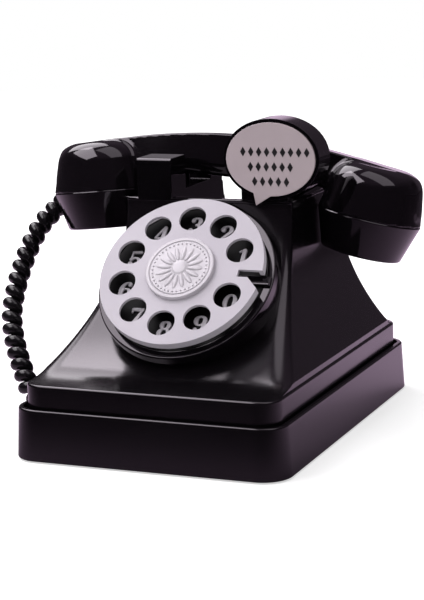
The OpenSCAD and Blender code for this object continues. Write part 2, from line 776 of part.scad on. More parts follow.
module pulse_cam() {
    color(brass) on_dial() difference() {
        translate([0, 0, cam_z]) linear_extrude(cam_t) union() {
            circle(r = shaft_d / 2 + cam_rim);
            for (k = [0:1]) rotate(45 + 180 * k) translate([(shaft_d + cam_lobe) / 2, 0])
                circle(r = cam_lobe / 2);
        }
        translate([0, 0, cam_z - 1]) cylinder(r = shaft_d / 2 + fit, h = cam_t + 2);
    }
}

module pulse_contacts() {
    block_x = gear_r + gear_m + contact_gap;
    leaf_x = shaft_d / 2 + cam_lobe + slack;
    color(rubber) on_dial() {
        translate([block_x, -contact_w / 2, cam_z - leaf_gap / 2])
            cube([contact_w, contact_w, frame_z - cam_z + leaf_gap / 2]);
        for (y = [-leaf_gap, leaf_gap]) translate([leaf_x, y / 2 - leaf_t / 2, cam_z + slack])
            cube([block_x - leaf_x + leaf_t, leaf_t, cam_t - 2 * slack]);
    }
}

// Spiral of the return spring, whose last quarter turn runs out to its anchor
module return_spring() {
    turns = 4;
    inner = shaft_d / 2 + 0.6;
    outer = inner + 9;
    tail = anchor_x - anchor_r - slack - 0.25 - outer;
    steps = 24 * turns;
    half_t = 0.25;
    function coil_r(i) = inner + (outer - inner) * i / steps + tail * pow(i / steps, 16);
    color(steel) on_dial() translate([0, 0, spring_z]) linear_extrude(spring_h) polygon(concat(
        [for (i = [0:steps]) (coil_r(i) + half_t) * [cos(180 + 15 * i), sin(180 + 15 * i)]],
        [for (i = [steps:-1:0]) (coil_r(i) - half_t) * [cos(180 + 15 * i), sin(180 + 15 * i)]]));
}

module governor_post() {
    color(steel) on_dial() translate([0, -gear_gap, 0]) {
        translate([0, 0, fly_z - 2]) cylinder(r = post_r, h = frame_z - fly_z + 2);
        translate([0, 0, fly_z - 2]) cylinder(r = post_r + 1.5, h = 1);
    }
}

module governor() {
    sleeve_r = post_r + 1.9;
    color(brass) on_dial() translate([0, -gear_gap, 0]) difference() {
        union() {
            translate([0, 0, fly_z]) linear_extrude(fly_t) union() {
                square([2 * fly_x, fly_w], center = true);
                for (x = [-fly_x, fly_x]) translate([x, 0]) circle(r = fly_r);
            }
            translate([0, 0, fly_z]) cylinder(r = sleeve_r, h = gear_z - fly_z);
            translate([0, 0, gear_z - 0.4]) linear_extrude(gear_t + 0.8)
                polygon(gear_outline(pinion_teeth, 90 + 180 / pinion_teeth));
        }
        translate([0, 0, fly_z - 1]) cylinder(r = post_r + fit, h = frame_z - fly_z);
    }
}

// Revolved outline of a cup: a tapered wall with a round shoulder
module cup_outline() {
    mid = cup_r - cup_taper - shoulder;
    union() {
        polygon([[0, 0], [cup_r, 0], [cup_r - cup_taper, cup_h - shoulder - 1],
            [mid + shoulder - 0.1, cup_h - shoulder], [mid, cup_h], [0, cup_h]]);
        intersection() {
            translate([mid, cup_h - shoulder]) circle(r = shoulder);
            translate([0, cup_h - shoulder]) square([cup_r, 2 * shoulder]);
        }
    }
}

// Arched bar about the handle's centre of arch, from one section
module arch(half_a) {
    translate([0, 0, arch_z - arch_r]) rotate([90, 0, 0]) rotate(90 - half_a)
        rotate_extrude(angle = 2 * half_a, $fn = 360) children();
}

function bar_section(inset) = let (top = arch_r - inset, low = arch_r - grip_h + inset,
        s = strip_w / 2 - inset, g = grip_w / 2 - inset)
    [[top, -s], [top, s], [low + 5, g], [low, g - 3.5], [low, 3.5 - g], [low + 5, -g]];

module boot_axis() {
    on_cup(-1) rotate(boot_turn) translate([cup_r - 0.8, 0, boot_rise]) rotate([0, boot_dip, 0]) children();
}

module handset_body() {
    end_a = asin((cup_x + 0.84 * cup_r) / arch_r);
    color(black) on_handset() difference() {
        union() {
            for (side = [-1, 1]) on_cup(side) rotate_extrude($fn = 96) cup_outline();
            arch(end_a) polygon(bar_section(0));
        }
        for (side = [-1, 1]) on_cup(side) translate([0, 0, -1]) cylinder(r = cup_bore, h = cup_depth + 1);
        arch(end_a - 3.2) polygon(bar_section(3));
        boot_axis() translate([0, 0, -8]) cylinder(r = boot_d / 2 + fit, h = 30);
    }
}

// Tapered cap with a screw spigot and holes in its face
module cap() {
    edge = 1.2;
    wall = 2;
    color(black) difference() {
        rotate_extrude($fn = 96) polygon([[0, -cap_h], [cap_r - edge, -cap_h], [cap_r, edge - cap_h],
            [cup_r, -edge], [cup_r - 0.3, 0], [spigot_r, 0], [spigot_r, spigot_h],
            [spigot_r - spigot_w, spigot_h], [spigot_r - spigot_w, -4],
            [cap_r - wall, wall - cap_h], [0, wall - cap_h]]);
        for (k = [0:18]) let (r = k == 0 ? 0 : k < 7 ? cap_r / 3 : 2 * cap_r / 3, a = k < 7 ? 60 * k : 30 * k)
            rotate(a) translate([r, 0, -cap_h - 1]) cylinder(r = 1.1, h = wall + 2, $fn = 16);
    }
}

module ear_cap() {
    on_handset() on_cup(-1) cap();
}

module mouth_cap() {
    on_handset() on_cup(1) cap();
}

// Sound capsule that sits on a cap's spigot
module capsule(body_r, body_h) {
    translate([0, 0, spigot_h]) {
        cylinder(r = spigot_r - spigot_w / 2, h = capsule_t);
        cylinder(r = body_r, h = capsule_t + body_h);
    }
}

module receiver_capsule() {
    color(steel) on_handset() on_cup(-1) capsule(receiver_r, receiver_h);
}

module microphone_capsule() {
    color(brass) on_handset() on_cup(1) capsule(microphone_r, microphone_h);
}

module cord_boot_handset() {
    color(black) on_handset() boot_axis() {
        translate([0, 0, -2]) cylinder(d = boot_d, h = 5);
        translate([0, 0, 2.9]) cylinder(d1 = boot_d, d2 = boot_d - 1, h = boot_l - 2.9);
    }
}

module cord_boot_base() {
    color(black) translate([-tray_hw, boot_base_y, boot_base_z]) rotate([0, -90, 0]) {
        translate([0, 0, -6]) cylinder(d = boot_d, h = boot_base_l + 6);
        translate([0, 0, -6]) cylinder(d = boot_d + 3, h = 6 - tray_draft - tray_wall - slack);
    }
}

function turn_y(a, p) = [p[0] * cos(a) + p[2] * sin(a), p[1], p[2] * cos(a) - p[0] * sin(a)];
function turn_z(a, p) = [p[0] * cos(a) - p[1] * sin(a), p[0] * sin(a) + p[1] * cos(a), p[2]];
function turn_x(a, p) = [p[0], p[1] * cos(a) - p[2] * sin(a), p[1] * sin(a) + p[2] * cos(a)];
function lean(p) = turn_x(-handset_lean, p - [0, 0, bar_low]) + [0, 0, bar_low];
function to_world(p) = [handset_x, handset_y, handset_z]
    + turn_z(handset_yaw, turn_y(handset_roll, lean(p)));
function from_boot(z) = to_world([-cup_x, 0, 0] + turn_y(-cup_tilt, turn_z(boot_turn,
    [cup_r - 0.8, 0, boot_rise] + turn_y(boot_dip, [0, 0, z]))));

// Route of the cord's middle line through chosen points, as a smooth curve
boot_end = [-tray_hw - boot_base_l, boot_base_y, boot_base_z];
route = concat([from_boot(boot_l), from_boot(boot_l + cord_d)], route_mid,
    [boot_end - [cord_d, 0, 0], boot_end]);
spans = len(route) - 1;
function bend(a, b, c, d, t) = 0.5 * (2 * b + (c - a) * t + (2 * a - 5 * b + 4 * c - d) * t * t
    + (3 * b - a - 3 * c + d) * t * t * t);
function along(s) = let (i = min(spans - 1, floor(s)), t = s - i)
    i == 0 || i == spans - 1 ? route[i] * (1 - t) + route[i + 1] * t
        : bend(route[i - 1], route[i], route[i + 1], route[i + 2], t);
fine = 12 * spans;
walk = [for (i = 0, l = 0; i <= fine;
    l = l + (i < fine ? norm(along((i + 1) / 12) - along(i / 12)) : 0), i = i + 1) [l, i / 12]];
walk_l = walk[fine][0];
cord_steps = curls * 8;
function cord_point(i) = let (l = walk_l * i / cord_steps, s = lookup(l, walk),
        t = unit(along(min(spans, s + 0.05)) - along(max(0, s - 0.05))), u = unit(cross(t, [0, 1, 0])),
        ramp = min(1, max(0, min(l, walk_l - l) - cord_d) / 9))
    along(s) + curl_r * ramp * (cos(45 * i) * u + sin(45 * i) * cross(t, u));
cord_line = [for (i = [0:cord_steps]) cord_point(i)];
cord_walk = [for (i = 0, l = 0; i <= cord_steps;
    l = l + (i < cord_steps ? norm(cord_line[i + 1] - cord_line[i]) : 0), i = i + 1) l];
cord_gap = min([for (i = [0:cord_steps - 1], j = [i + 1:cord_steps])
    if (cord_walk[j] - cord_walk[i] > 2 * cord_d) norm(cord_line[i] - cord_line[j])]) - cord_d;

module handset_cord() {
    echo(least_gap_of_cord = cord_gap, length_of_route = walk_l);
    color(black) skin(sweep(cord_line, cord_d / 2, 6));
}

// Oval of the sign, grown by a rim
function oval(grow) = [for (a = [0:7.5:359]) [(sign_w / 2 + grow) * cos(a), (sign_h / 2 + grow) * sin(a)]];

// Frame of the sign: front of its housing at the origin, plate upright and facing the front
module on_sign() {
    translate([sign_x, sign_y, sign_z]) rotate([90, 0, 0]) children();
}

sign_wall = 2;
module sign_housing() {
    foot_top = sign_z - sign_h / 4;
    color(black) difference() {
        union() {
            on_sign() difference() {
                translate([0, 0, -sign_d]) linear_extrude(sign_d) polygon(oval(sign_rim));
                translate([0, 0, -sign_d - 1]) linear_extrude(sign_d - sign_wall + 1)
                    polygon(oval(sign_rim - sign_wall));
            }
            difference() {
                translate([ear_x, deck_front, deck_z]) cube([sign_foot[0], sign_foot[1], foot_top - deck_z]);
                on_sign() translate([0, 0, -2 * sign_d]) linear_extrude(4 * sign_d)
                    polygon(oval(sign_rim - 1));
            }
        }
        at_sign_screws() translate([0, 0, deck_z - 1]) cylinder(r = screw_d / 2 + fit, h = 5);
    }
}

module sign_back() {
    color(black) on_sign() translate([0, 0, -sign_d]) linear_extrude(1.5)
        polygon(oval(sign_rim - sign_wall - slack));
}

// Speech-bubble outline: the oval with a pointed tail at its lower left
module sign_plate() {
    color(card) on_sign() linear_extrude(sign_t) union() {
        polygon(oval(0));
        polygon([[-10.5, -14], [-8.4, -sign_h / 2 - 5], [5, -16]]);
    }
}

module sign_screws() {
    color(steel) at_sign_screws() translate([0, 0, shell_top - top_wall])
        screw(screw_d, top_wall + deck_t + 3);
}

base_tray();
rubber_feet();
base_screws();
ballast_plate();
circuit_board();
ringer();
line_socket();
body_shell();
cradle();
cradle_screws();
hook_plunger();
hook_spring();
hook_bracket();
hook_switch();
dial_bezel();
number_plate();
finger_stop();
dial_frame();
dial_screws();
dial_bush();
governor_post();
pulse_contacts();
return_spring();
finger_wheel();
dial_medallion();
dial_shaft();
drive_gear();
pulse_cam();
governor();
handset_body();
ear_cap();
mouth_cap();
receiver_capsule();
microphone_capsule();
cord_boot_handset();
cord_boot_base();
handset_cord();
sign_housing();
sign_back();
sign_plate();
sign_screws();
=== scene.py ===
import math
from contextlib import contextmanager

import bmesh
import bpy
import numpy as np
from mathutils import Matrix, Vector


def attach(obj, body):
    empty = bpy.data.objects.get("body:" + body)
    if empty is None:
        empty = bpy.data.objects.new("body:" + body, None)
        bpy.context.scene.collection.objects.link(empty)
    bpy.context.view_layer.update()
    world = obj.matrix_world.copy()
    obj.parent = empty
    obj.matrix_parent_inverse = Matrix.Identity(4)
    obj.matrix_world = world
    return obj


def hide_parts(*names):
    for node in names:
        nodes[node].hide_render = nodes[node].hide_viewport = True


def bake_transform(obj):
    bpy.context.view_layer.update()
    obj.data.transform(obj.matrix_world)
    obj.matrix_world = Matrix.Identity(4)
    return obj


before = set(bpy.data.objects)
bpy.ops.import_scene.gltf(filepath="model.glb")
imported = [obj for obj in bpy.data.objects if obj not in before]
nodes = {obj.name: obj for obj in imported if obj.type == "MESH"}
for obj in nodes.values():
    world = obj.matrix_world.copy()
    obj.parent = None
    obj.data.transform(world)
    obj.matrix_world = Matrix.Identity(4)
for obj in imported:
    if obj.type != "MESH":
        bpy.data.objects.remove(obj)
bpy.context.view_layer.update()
scene = bpy.context.scene
scene.view_settings.view_transform = "Standard"
mm = 0.001  # sizes below are in millimetres, meshes in metres
print("frame loaded,", len(nodes), "nodes")

# Camera at the photograph's viewing angle

photoView = {
    "azimuth": 23.184,  # degrees to the right of the front
    "elevation": 11.441,
    "roll": -1.743,
    "distance": 995.53,
    "target": (0, 0, 60),
    "slide": (4.128, -6.408),  # how far the target sits off the picture's middle
    "focalPixels": 1839.94,
    "frameHeight": 600,
    "sensor": 36.0,
}


def addCamera(view):
    az, el, roll = (math.radians(view[key]) for key in ("azimuth", "elevation", "roll"))
    back = Vector((math.sin(az) * math.cos(el), -math.cos(az) * math.cos(el), math.sin(el)))
    level = Vector((math.cos(az), math.sin(az), 0))
    upright = back.cross(level)
    right = math.cos(roll) * level + math.sin(roll) * upright
    up = math.cos(roll) * upright - math.sin(roll) * level
    data = bpy.data.cameras.new("photoCamera")
    data.sensor_width = view["sensor"]
    data.lens = view["focalPixels"] * view["sensor"] / view["frameHeight"]
    data.clip_start = 0.01
    camera = bpy.data.objects.new("photoCamera", data)
    scene.collection.objects.link(camera)
    place = Matrix((right, up, back)).transposed().to_4x4()
    place.translation = mm * (Vector(view["target"]) - view["slide"][0] * right
                              - view["slide"][1] * up + view["distance"] * back)
    camera.matrix_world = place
    scene.camera = camera


addCamera(photoView)
print("camera placed")

# Node helpers


def addNode(tree, kind, **values):
    node = tree.nodes.new(kind)
    for key, value in values.items():
        if hasattr(node, key):
            setattr(node, key, value)
        else:
            node.inputs[key].default_value = value
    return node


def addNodes(tree, family, *kinds):  # several plain nodes of one family
    return [tree.nodes.new(family + kind) for kind in kinds]


def feed(tree, entry, value):  # a socket is joined, a plain value is set
    if isinstance(value, bpy.types.NodeSocket):
        tree.links.new(value, entry)
    else:
        entry.default_value = value


def wire(tree, *links):  # each link is a node, its output, a node and its input
    for source, output, target, entry in links:
        tree.links.new(source.outputs[output], target.inputs[entry])


def mathOf(tree, operation, *values, clamp=False):
    node = addNode(tree, "ShaderNodeMath", operation=operation, use_clamp=clamp)
    for entry, value in zip(node.inputs, values):
        feed(tree, entry, value)
    return node.outputs["Value"]


def mixOf(tree, kind, factor, first, second):
    node = addNode(tree, "ShaderNodeMix", data_type=kind)
    for entry, value in (("Factor", factor), ("A", first), ("B", second)):
        feed(tree, node.inputs[entry], value)
    return node.outputs["Result"]


def rampOf(tree, source, reach, levels, kind="SMOOTHSTEP"):  # a value's reach spread over two levels
    ramp = addNode(tree, "ShaderNodeMapRange", interpolation_type=kind)
    for key, value in zip(("From Min", "From Max", "To Min", "To Max"), (*reach, *levels)):
        ramp.inputs[key].default_value = value
    feed(tree, ramp.inputs["Value"], source)
    return ramp.outputs["Result"]


def newTree(name, family, inputs, outputs):  # a node group with named sockets and their kinds
    tree = bpy.data.node_groups.new(name, family + "NodeTree")
    for side, sockets in (("INPUT", inputs), ("OUTPUT", outputs)):
        for label, kind in sockets.items():
            tree.interface.new_socket(label, in_out=side, socket_type="NodeSocket" + kind)
    return tree, tree.nodes.new("NodeGroupInput"), tree.nodes.new("NodeGroupOutput")


# Effects that several finishes share

effects = {
    "hazeBand": (0.3, 0.7),  # part of the noise that turns from clear to hazy
    "scratchBand": (0.66, 0.74),
    "scratchTurns": ((0.2, 0.5, 0.9), (0.9, 0.1, 2.3)),  # two crossing directions
    "scratchStretch": (1.0, 22.0, 22.0),
    "scratchScale": 30.0,
    "grainScale": 900.0,
    "grainHeight": 0.0002,
}


def makeHazeGroup(look):
    tree, given, result = newTree("finishHaze", "Shader", {"Scale": "Float"}, {"Mask": "Float"})
    place = addNode(tree, "ShaderNodeTexCoord")
    broad = addNode(tree, "ShaderNodeTexNoise", Detail=4.0, Roughness=0.55)
    wire(tree, (place, "Object", broad, "Vector"), (given, "Scale", broad, "Scale"))
    mask = rampOf(tree, broad.outputs["Fac"], look["hazeBand"], (0, 1), "LINEAR")
    feed(tree, result.inputs["Mask"], mask)
    return tree


def makeScratchGroup(look):
    tree, given, result = newTree("handlingScratches", "Shader",
                                  {"Scale": "Float", "Amount": "Float"}, {"Mask": "Float"})
    place = addNode(tree, "ShaderNodeTexCoord")
    marks = []
    for turn in look["scratchTurns"]:
        stretch = addNode(tree, "ShaderNodeMapping", Rotation=turn, Scale=look["scratchStretch"])
        lines = addNode(tree, "ShaderNodeTexNoise", Detail=2.0)
        wire(tree, (place, "Object", stretch, "Vector"), (stretch, "Vector", lines, "Vector"),
             (given, "Scale", lines, "Scale"))
        marks.append(rampOf(tree, lines.outputs["Fac"], look["scratchBand"], (0, 1), "LINEAR"))
    both = mathOf(tree, "MAXIMUM", *marks)
    feed(tree, result.inputs["Mask"], mathOf(tree, "MULTIPLY", both, given.outputs["Amount"]))
    return tree


def makeGrainGroup():
    tree, given, result = newTree("mouldedGrain", "Shader", {"Scale": "Float"}, {"Height": "Float"})
    place = addNode(tree, "ShaderNodeTexCoord")
    fine = addNode(tree, "ShaderNodeTexNoise", Detail=3.0, Roughness=0.6)
    wire(tree, (place, "Object", fine, "Vector"), (given, "Scale", fine, "Scale"),
         (fine, "Fac", result, "Height"))
    return tree


hazeGroup = makeHazeGroup(effects)
scratchGroup = makeScratchGroup(effects)
grainGroup = makeGrainGroup()


def useGroup(tree, group, **values):  # the effect's one output, with a finish's own values
    node = tree.nodes.new("ShaderNodeGroup")
    node.node_tree = group
    for key, value in values.items():
        node.inputs[key].default_value = value
    return node.outputs[0]


def makeFinish(name, look):
    material = bpy.data.materials.new(name)
    material.use_nodes = True
    tree = material.node_tree
    shader = tree.nodes["Principled BSDF"]
    haze = useGroup(tree, hazeGroup, Scale=look["hazeScale"])
    scratches = useGroup(tree, scratchGroup, Scale=effects["scratchScale"],
                         Amount=look.get("scratches", 0.1))
    grain = useGroup(tree, grainGroup, Scale=effects["grainScale"])
    bump = addNode(tree, "ShaderNodeBump", Strength=look.get("grain", 0.02),
                   Distance=effects["grainHeight"])
    feed(tree, bump.inputs["Height"], grain)
    gloss = rampOf(tree, haze, (0, 1), look["roughness"], "LINEAR")
    sockets = {
        "Metallic": look.get("metallic", 0.0),
        "IOR": look.get("ior", 1.5),
        "Specular IOR Level": look.get("specular", 0.5),
        "Specular Tint": (*look.get("sheen", (1, 1, 1)), 1),
        "Base Color": mixOf(tree, "RGBA", haze, (*look["color"], 1), (*look["shade"], 1)),
        "Roughness": mathOf(tree, "ADD", gloss, scratches, clamp=True),
        "Normal": bump.outputs["Normal"],
    }
    for entry, value in sockets.items():
        feed(tree, shader.inputs[entry], value)
    return material


finishes = {
    "blackGloss": {"color": (0.0026, 0.0020, 0.0028), "shade": (0.0034, 0.0027, 0.0036), "ior": 1.62,
                   "sheen": (1.0, 0.93, 1.0), "roughness": (0.05, 0.10), "hazeScale": 14, "scratches": 0.05,
                   "grain": 0.01},
    "plateBlack": {"color": (0.0028, 0.0023, 0.0030), "shade": (0.0040, 0.0034, 0.0042), "specular": 0.1,
                   "roughness": (0.42, 0.52), "hazeScale": 40, "scratches": 0.08, "grain": 0.05},
    "blackSatin": {"color": (0.0075, 0.0065, 0.0080), "shade": (0.0100, 0.0090, 0.0105),
                   "roughness": (0.26, 0.36), "hazeScale": 40, "scratches": 0.08, "grain": 0.05},
    "cordJacket": {"color": (0.0045, 0.0038, 0.0048), "shade": (0.0065, 0.0057, 0.0068),
                   "roughness": (0.12, 0.19), "hazeScale": 60, "scratches": 0.06, "grain": 0.03},
    "silverSatin": {"color": (0.60, 0.565, 0.62), "shade": (0.555, 0.52, 0.575), "specular": 0.15,
                    "roughness": (0.50, 0.58), "hazeScale": 30, "scratches": 0.05, "grain": 0.14},
    "medallionSilver": {"color": (0.56, 0.53, 0.57), "shade": (0.50, 0.475, 0.51), "metallic": 0.1,
                        "roughness": (0.30, 0.38), "hazeScale": 50, "scratches": 0.05, "grain": 0.05},
    "numberInk": {"color": (0.56, 0.53, 0.57), "shade": (0.50, 0.47, 0.51), "roughness": (0.4, 0.5),
                  "hazeScale": 80, "grain": 0.04},
    "signCard": {"color": (0.53, 0.445, 0.47), "shade": (0.49, 0.41, 0.435), "roughness": (0.28, 0.38),
                 "hazeScale": 35, "scratches": 0.06, "grain": 0.05},
    "signInk": {"color": (0.012, 0.010, 0.012), "shade": (0.020, 0.017, 0.020), "roughness": (0.4, 0.5),
                "hazeScale": 60, "grain": 0.04},
    "platedSteel": {"color": (0.60, 0.60, 0.62), "shade": (0.47, 0.47, 0.50), "metallic": 1.0,
                    "roughness": (0.24, 0.36), "hazeScale": 60, "scratches": 0.15, "grain": 0.04},
    "turnedBrass": {"color": (0.62, 0.44, 0.19), "shade": (0.50, 0.34, 0.13), "metallic": 1.0,
                    "roughness": (0.26, 0.38), "hazeScale": 60, "scratches": 0.15, "grain": 0.04},
    "footRubber": {"color": (0.020, 0.020, 0.021), "shade": (0.034, 0.034, 0.035),
                   "roughness": (0.62, 0.78), "hazeScale": 90, "scratches": 0.05, "grain": 0.3},
    "boardLacquer": {"color": (0.016, 0.11, 0.045), "shade": (0.022, 0.15, 0.062),
                     "roughness": (0.30, 0.42), "hazeScale": 45, "scratches": 0.06, "grain": 0.08},
}
finishes["blackHousing"] = {**finishes["blackGloss"], "roughness": (0.15, 0.20)}  # a little duller
materials = {name: makeFinish(name, look) for name, look in finishes.items()}
print("finishes made:", len(materials))

# Mesh helpers


def paint(mesh, material):
    mesh.materials.clear()
    mesh.materials.append(material)


def linkMesh(name, mesh, finish):
    paint(mesh, materials[finish])
    piece = bpy.data.objects.new(name, mesh)
    scene.collection.objects.link(piece)
    return piece


def meshPiece(name, points, faces, finish, edges=()):
    mesh = bpy.data.meshes.new(name)
    mesh.from_pydata((np.asarray(points, float) * mm).tolist(), edges, [list(map(int, f)) for f in faces])
    mesh.update()
    return linkMesh(name, mesh, finish)


def emptyPiece(name, finish):
    return linkMesh(name, bpy.data.meshes.new(name), finish)


@contextmanager
def openMesh(piece):  # a piece's mesh, open for edits
    net = bmesh.new()
    net.from_mesh(piece.data)
    yield net
    net.to_mesh(piece.data)
    net.free()


def faceOut(piece):
    with openMesh(piece) as net:
        bmesh.ops.recalc_face_normals(net, faces=net.faces)
    return piece


def flatten(net):  # triangles of one plane become one face
    bmesh.ops.dissolve_limit(net, angle_limit=math.radians(0.5), verts=net.verts, edges=net.edges)


def settle(piece):  # modifiers become plain mesh
    graph = bpy.context.evaluated_depsgraph_get()
    mesh = bpy.data.meshes.new_from_object(piece.evaluated_get(graph), preserve_all_data_layers=True,
                                           depsgraph=graph)
    mesh.name = piece.name
    piece.modifiers.clear()
    piece.data = mesh
    return piece


def shade(piece, degrees=30, weighted=True):  # smooth, with crisp edges past an angle
    limit = math.radians(degrees)
    with openMesh(piece) as net:
        for edge in net.edges:
            edge.smooth = len(edge.link_faces) == 2 and edge.calc_face_angle(0) < limit
        for face in net.faces:
            face.smooth = True
    if weighted:
        weights = piece.modifiers.new("flatFaces", "WEIGHTED_NORMAL")
        weights.keep_sharp = True
        settle(piece)
    return piece


def mergedCopy(name, node, finish):  # a CAD node's triangles joined into clean faces
    net = bmesh.new()
    net.from_mesh(nodes[node].data)
    bmesh.ops.remove_doubles(net, verts=net.verts, dist=0.002 * mm)
    flatten(net)
    mesh = bpy.data.meshes.new(name)
    net.to_mesh(mesh)
    net.free()
    return linkMesh(name, mesh, finish)


def bevelled(piece, width, front=None, segments=3, degrees=32):  # front: wider rounding of front edges
    limit = math.radians(degrees)
    rounding = piece.modifiers.new("softEdges", "BEVEL")
    rounding.segments = segments
    rounding.harden_normals = False
    rounding.width = (front["width"] if front else width) * mm
    rounding.limit_method = "WEIGHT" if front else "ANGLE"
    rounding.use_clamp_overlap = not front
    rounding.angle_limit = limit
    if front:
        with openMesh(piece) as net:
            weight = net.edges.layers.float.new("bevel_weight_edge")
            for edge in (e for e in net.edges if e.calc_face_angle(0) > limit):
                ahead = all(v.co.y < front["y"] * mm and v.co.z > front["z"] * mm for v in edge.verts)
                along = edge.verts[0].co - edge.verts[1].co
                edge[weight] = 1.0 if ahead and abs(along.x) > abs(along.z) else width / front["width"]
    return settle(piece)


def cutAway(piece, cutters):
    for cutter in cutters:
        cut = piece.modifiers.new("cut", "BOOLEAN")
        cut.operation = "DIFFERENCE"
        cut.solver = "EXACT"
        cut.object = cutter
    settle(piece)
    for cutter in cutters:
        bpy.data.objects.remove(cutter)
    return piece


def fuse(piece, *others):  # several meshes as one piece
    with openMesh(piece) as net:
        for part in others:
            net.from_mesh(part.data)
    for part in others:
        bpy.data.objects.remove(part)
    return piece


def fillet(corners, closed=False, steps=5):  # (x, y, radius) corners with their arcs
    path = []
    count = len(corners)
    for i, (x, y, radius) in enumerate(corners):
        if radius <= 0 or (not closed and i in (0, count - 1)):
            path.append((x, y))
            continue
        here = Vector((x, y))
        before = (Vector(corners[i - 1][:2]) - here).normalized()
        after = (Vector(corners[(i + 1) % count][:2]) - here).normalized()
        half = before.angle(after) / 2
        centre = here + (before + after).normalized() * radius / math.sin(half)
        first = here + before * radius / math.tan(half) - centre
        sweep = math.pi - 2 * half
        if before.x * after.y - before.y * after.x > 0:
            sweep = -sweep
        for k in range(steps + 1):
            a = sweep * k / steps
            path.append((centre.x + first.x * math.cos(a) - first.y * math.sin(a),
                         centre.y + first.x * math.sin(a) + first.y * math.cos(a)))
    return path


def turned(name, profile, finish, steps=128, closed=False):  # (radius, height) profile about Z
    points, rings, faces = [], [], []
    for radius, height in profile:
        if radius < 1e-6:
            rings.append([len(points)])
            points.append((0, 0, height))
            continue
        rings.append(list(range(len(points), len(points) + steps)))
        for k in range(steps):
            a = math.tau * k / steps
            points.append((radius * math.cos(a), radius * math.sin(a), height))
    pairs = list(zip(rings, rings[1:]))
    if closed:
        pairs.append((rings[-1], rings[0]))
    for low, high in pairs:
        for k in range(steps):
            loop = [low[k % len(low)], low[(k + 1) % len(low)],
                    high[(k + 1) % len(high)], high[k % len(high)]]
            loop = list(dict.fromkeys(loop))
            if len(loop) > 2:
                faces.append(loop)
    return faceOut(meshPiece(name, points, faces, finish))


def lofted(name, rings, finish="blackHousing"):  # walls between rings, with both ends closed
    size, last = len(rings[0]), len(rings) - 1
    faces = [[r * size + k, r * size + (k + 1) % size, (r + 1) * size + (k + 1) % size, (r + 1) * size + k]
             for r in range(last) for k in range(size)]
    faces += [list(range(size))[::-1], [last * size + k for k in range(size)]]
    return faceOut(meshPiece(name, sum(rings, []), faces, finish))


straightShares = (  # points along the straight sides, closer near the corners
    0.015, 0.06, 0.2, 0.4, 0.6, 0.8, 0.94, 0.985)


def roundedRing(halfWidth, front, back, radius, height, arc=12):  # rectangle with round corners
    corners = [(halfWidth - radius, back - radius, 0), (radius - halfWidth, back - radius, 90),
               (radius - halfWidth, front + radius, 180), (halfWidth - radius, front + radius, 270)]
    ring = []
    for x, y, start in corners:
        turn = [math.radians(start + 90 * k / arc) for k in range(arc + 1)]
        ring.append([(x + radius * math.cos(a), y + radius * math.sin(a), height) for a in turn])
    points = []
    for i, sweep in enumerate(ring):
        points += sweep
        p, q = sweep[-1], ring[(i + 1) % 4][0]
        points += [tuple(p[j] + (q[j] - p[j]) * share for j in range(3)) for share in straightShares]
    return points


def rodPiece(name, radius, low, high, finish="blackGloss", steps=96):
    return turned(name, [(0, low), (radius, low), (radius, high), (0, high)], finish, steps)


def placed(piece, matrix):  # place goes into the mesh, in millimetres
    shift = matrix.copy()
    shift.translation = matrix.translation * mm
    piece.data.transform(shift)
    return piece


farOff = 1000.0  # larger than any distance in a field


def roundMax(a, b, radius):  # overlap of two fields with a round edge
    u, v = a + radius, b + radius
    return np.minimum(np.maximum(u, v), 0) + np.hypot(np.maximum(u, 0), np.maximum(v, 0)) - radius


def softMin(a, b, reach):  # union of two fields with a fillet
    h = np.clip(0.5 + 0.5 * (b - a) / reach, 0, 1)
    return b + (a - b) * h - reach * h * (1 - h)


def isoPiece(name, field, low, high, step, finish, passes=3):
    # closed surface where a field of distances is zero, one point to a cell
    axes = [np.arange(low[k], high[k] + step, step) for k in range(3)]
    grid = np.stack(np.meshgrid(*axes, indexing="ij"), axis=-1)
    shape = grid.shape[:3]
    values = field(grid.reshape(-1, 3)).reshape(shape)
    inside = values < 0
    cells = tuple(n - 1 for n in shape)
    total = np.zeros(cells + (3,))
    count = np.zeros(cells)
    crossings = []
    for axis in range(3):
        near = [slice(None)] * 3
        far = [slice(None)] * 3
        near[axis], far[axis] = slice(0, -1), slice(1, None)
        a, b = values[tuple(near)], values[tuple(far)]
        spots = np.argwhere(inside[tuple(near)] != inside[tuple(far)])
        first, second = a[tuple(spots.T)], b[tuple(spots.T)]
        where = grid[tuple(spots.T)].copy()
        where[:, axis] += step * first / (first - second)
        others = [k for k in range(3) if k != axis]
        around = []
        for du, dv in ((0, 0), (-1, 0), (-1, -1), (0, -1)):
            cell = spots.copy()
            cell[:, others[0]] += du
            cell[:, others[1]] += dv
            np.add.at(total, tuple(cell.T), where)
            np.add.at(count, tuple(cell.T), 1)
            around.append(cell)
        crossings.append((axis, first < 0, around))
    used = count > 0
    points = total[used] / count[used][:, None]
    number = np.full(cells, -1)
    number[used] = np.arange(len(points))
    quads = []
    for axis, leaving, around in crossings:
        loop = np.stack([number[tuple(cell.T)] for cell in around], axis=1)
        flip = leaving if axis != 1 else ~leaving
        quads.append(np.where(flip[:, None], loop, loop[:, ::-1]))
    small = step * 0.02

    def slope(p):
        steps = np.eye(3) * small
        return np.stack([(field(p + s) - field(p - s)) / (2 * small) for s in steps], axis=1)

    for _ in range(passes):  # points slide onto the true surface
        g = slope(points)
        points = points - g * (field(points) / np.maximum((g * g).sum(1), 0.2))[:, None]
    piece = meshPiece(name, points, np.concatenate(quads), finish)
    piece.data.shade_smooth()
    return piece, slope(points)


def bearNormals(piece, normals):  # the field's own slope as the shading normals
    lengths = np.linalg.norm(normals, axis=1, keepdims=True)
    piece.data.normals_split_custom_set_from_vertices((normals / np.maximum(lengths, 1e-9)).tolist())


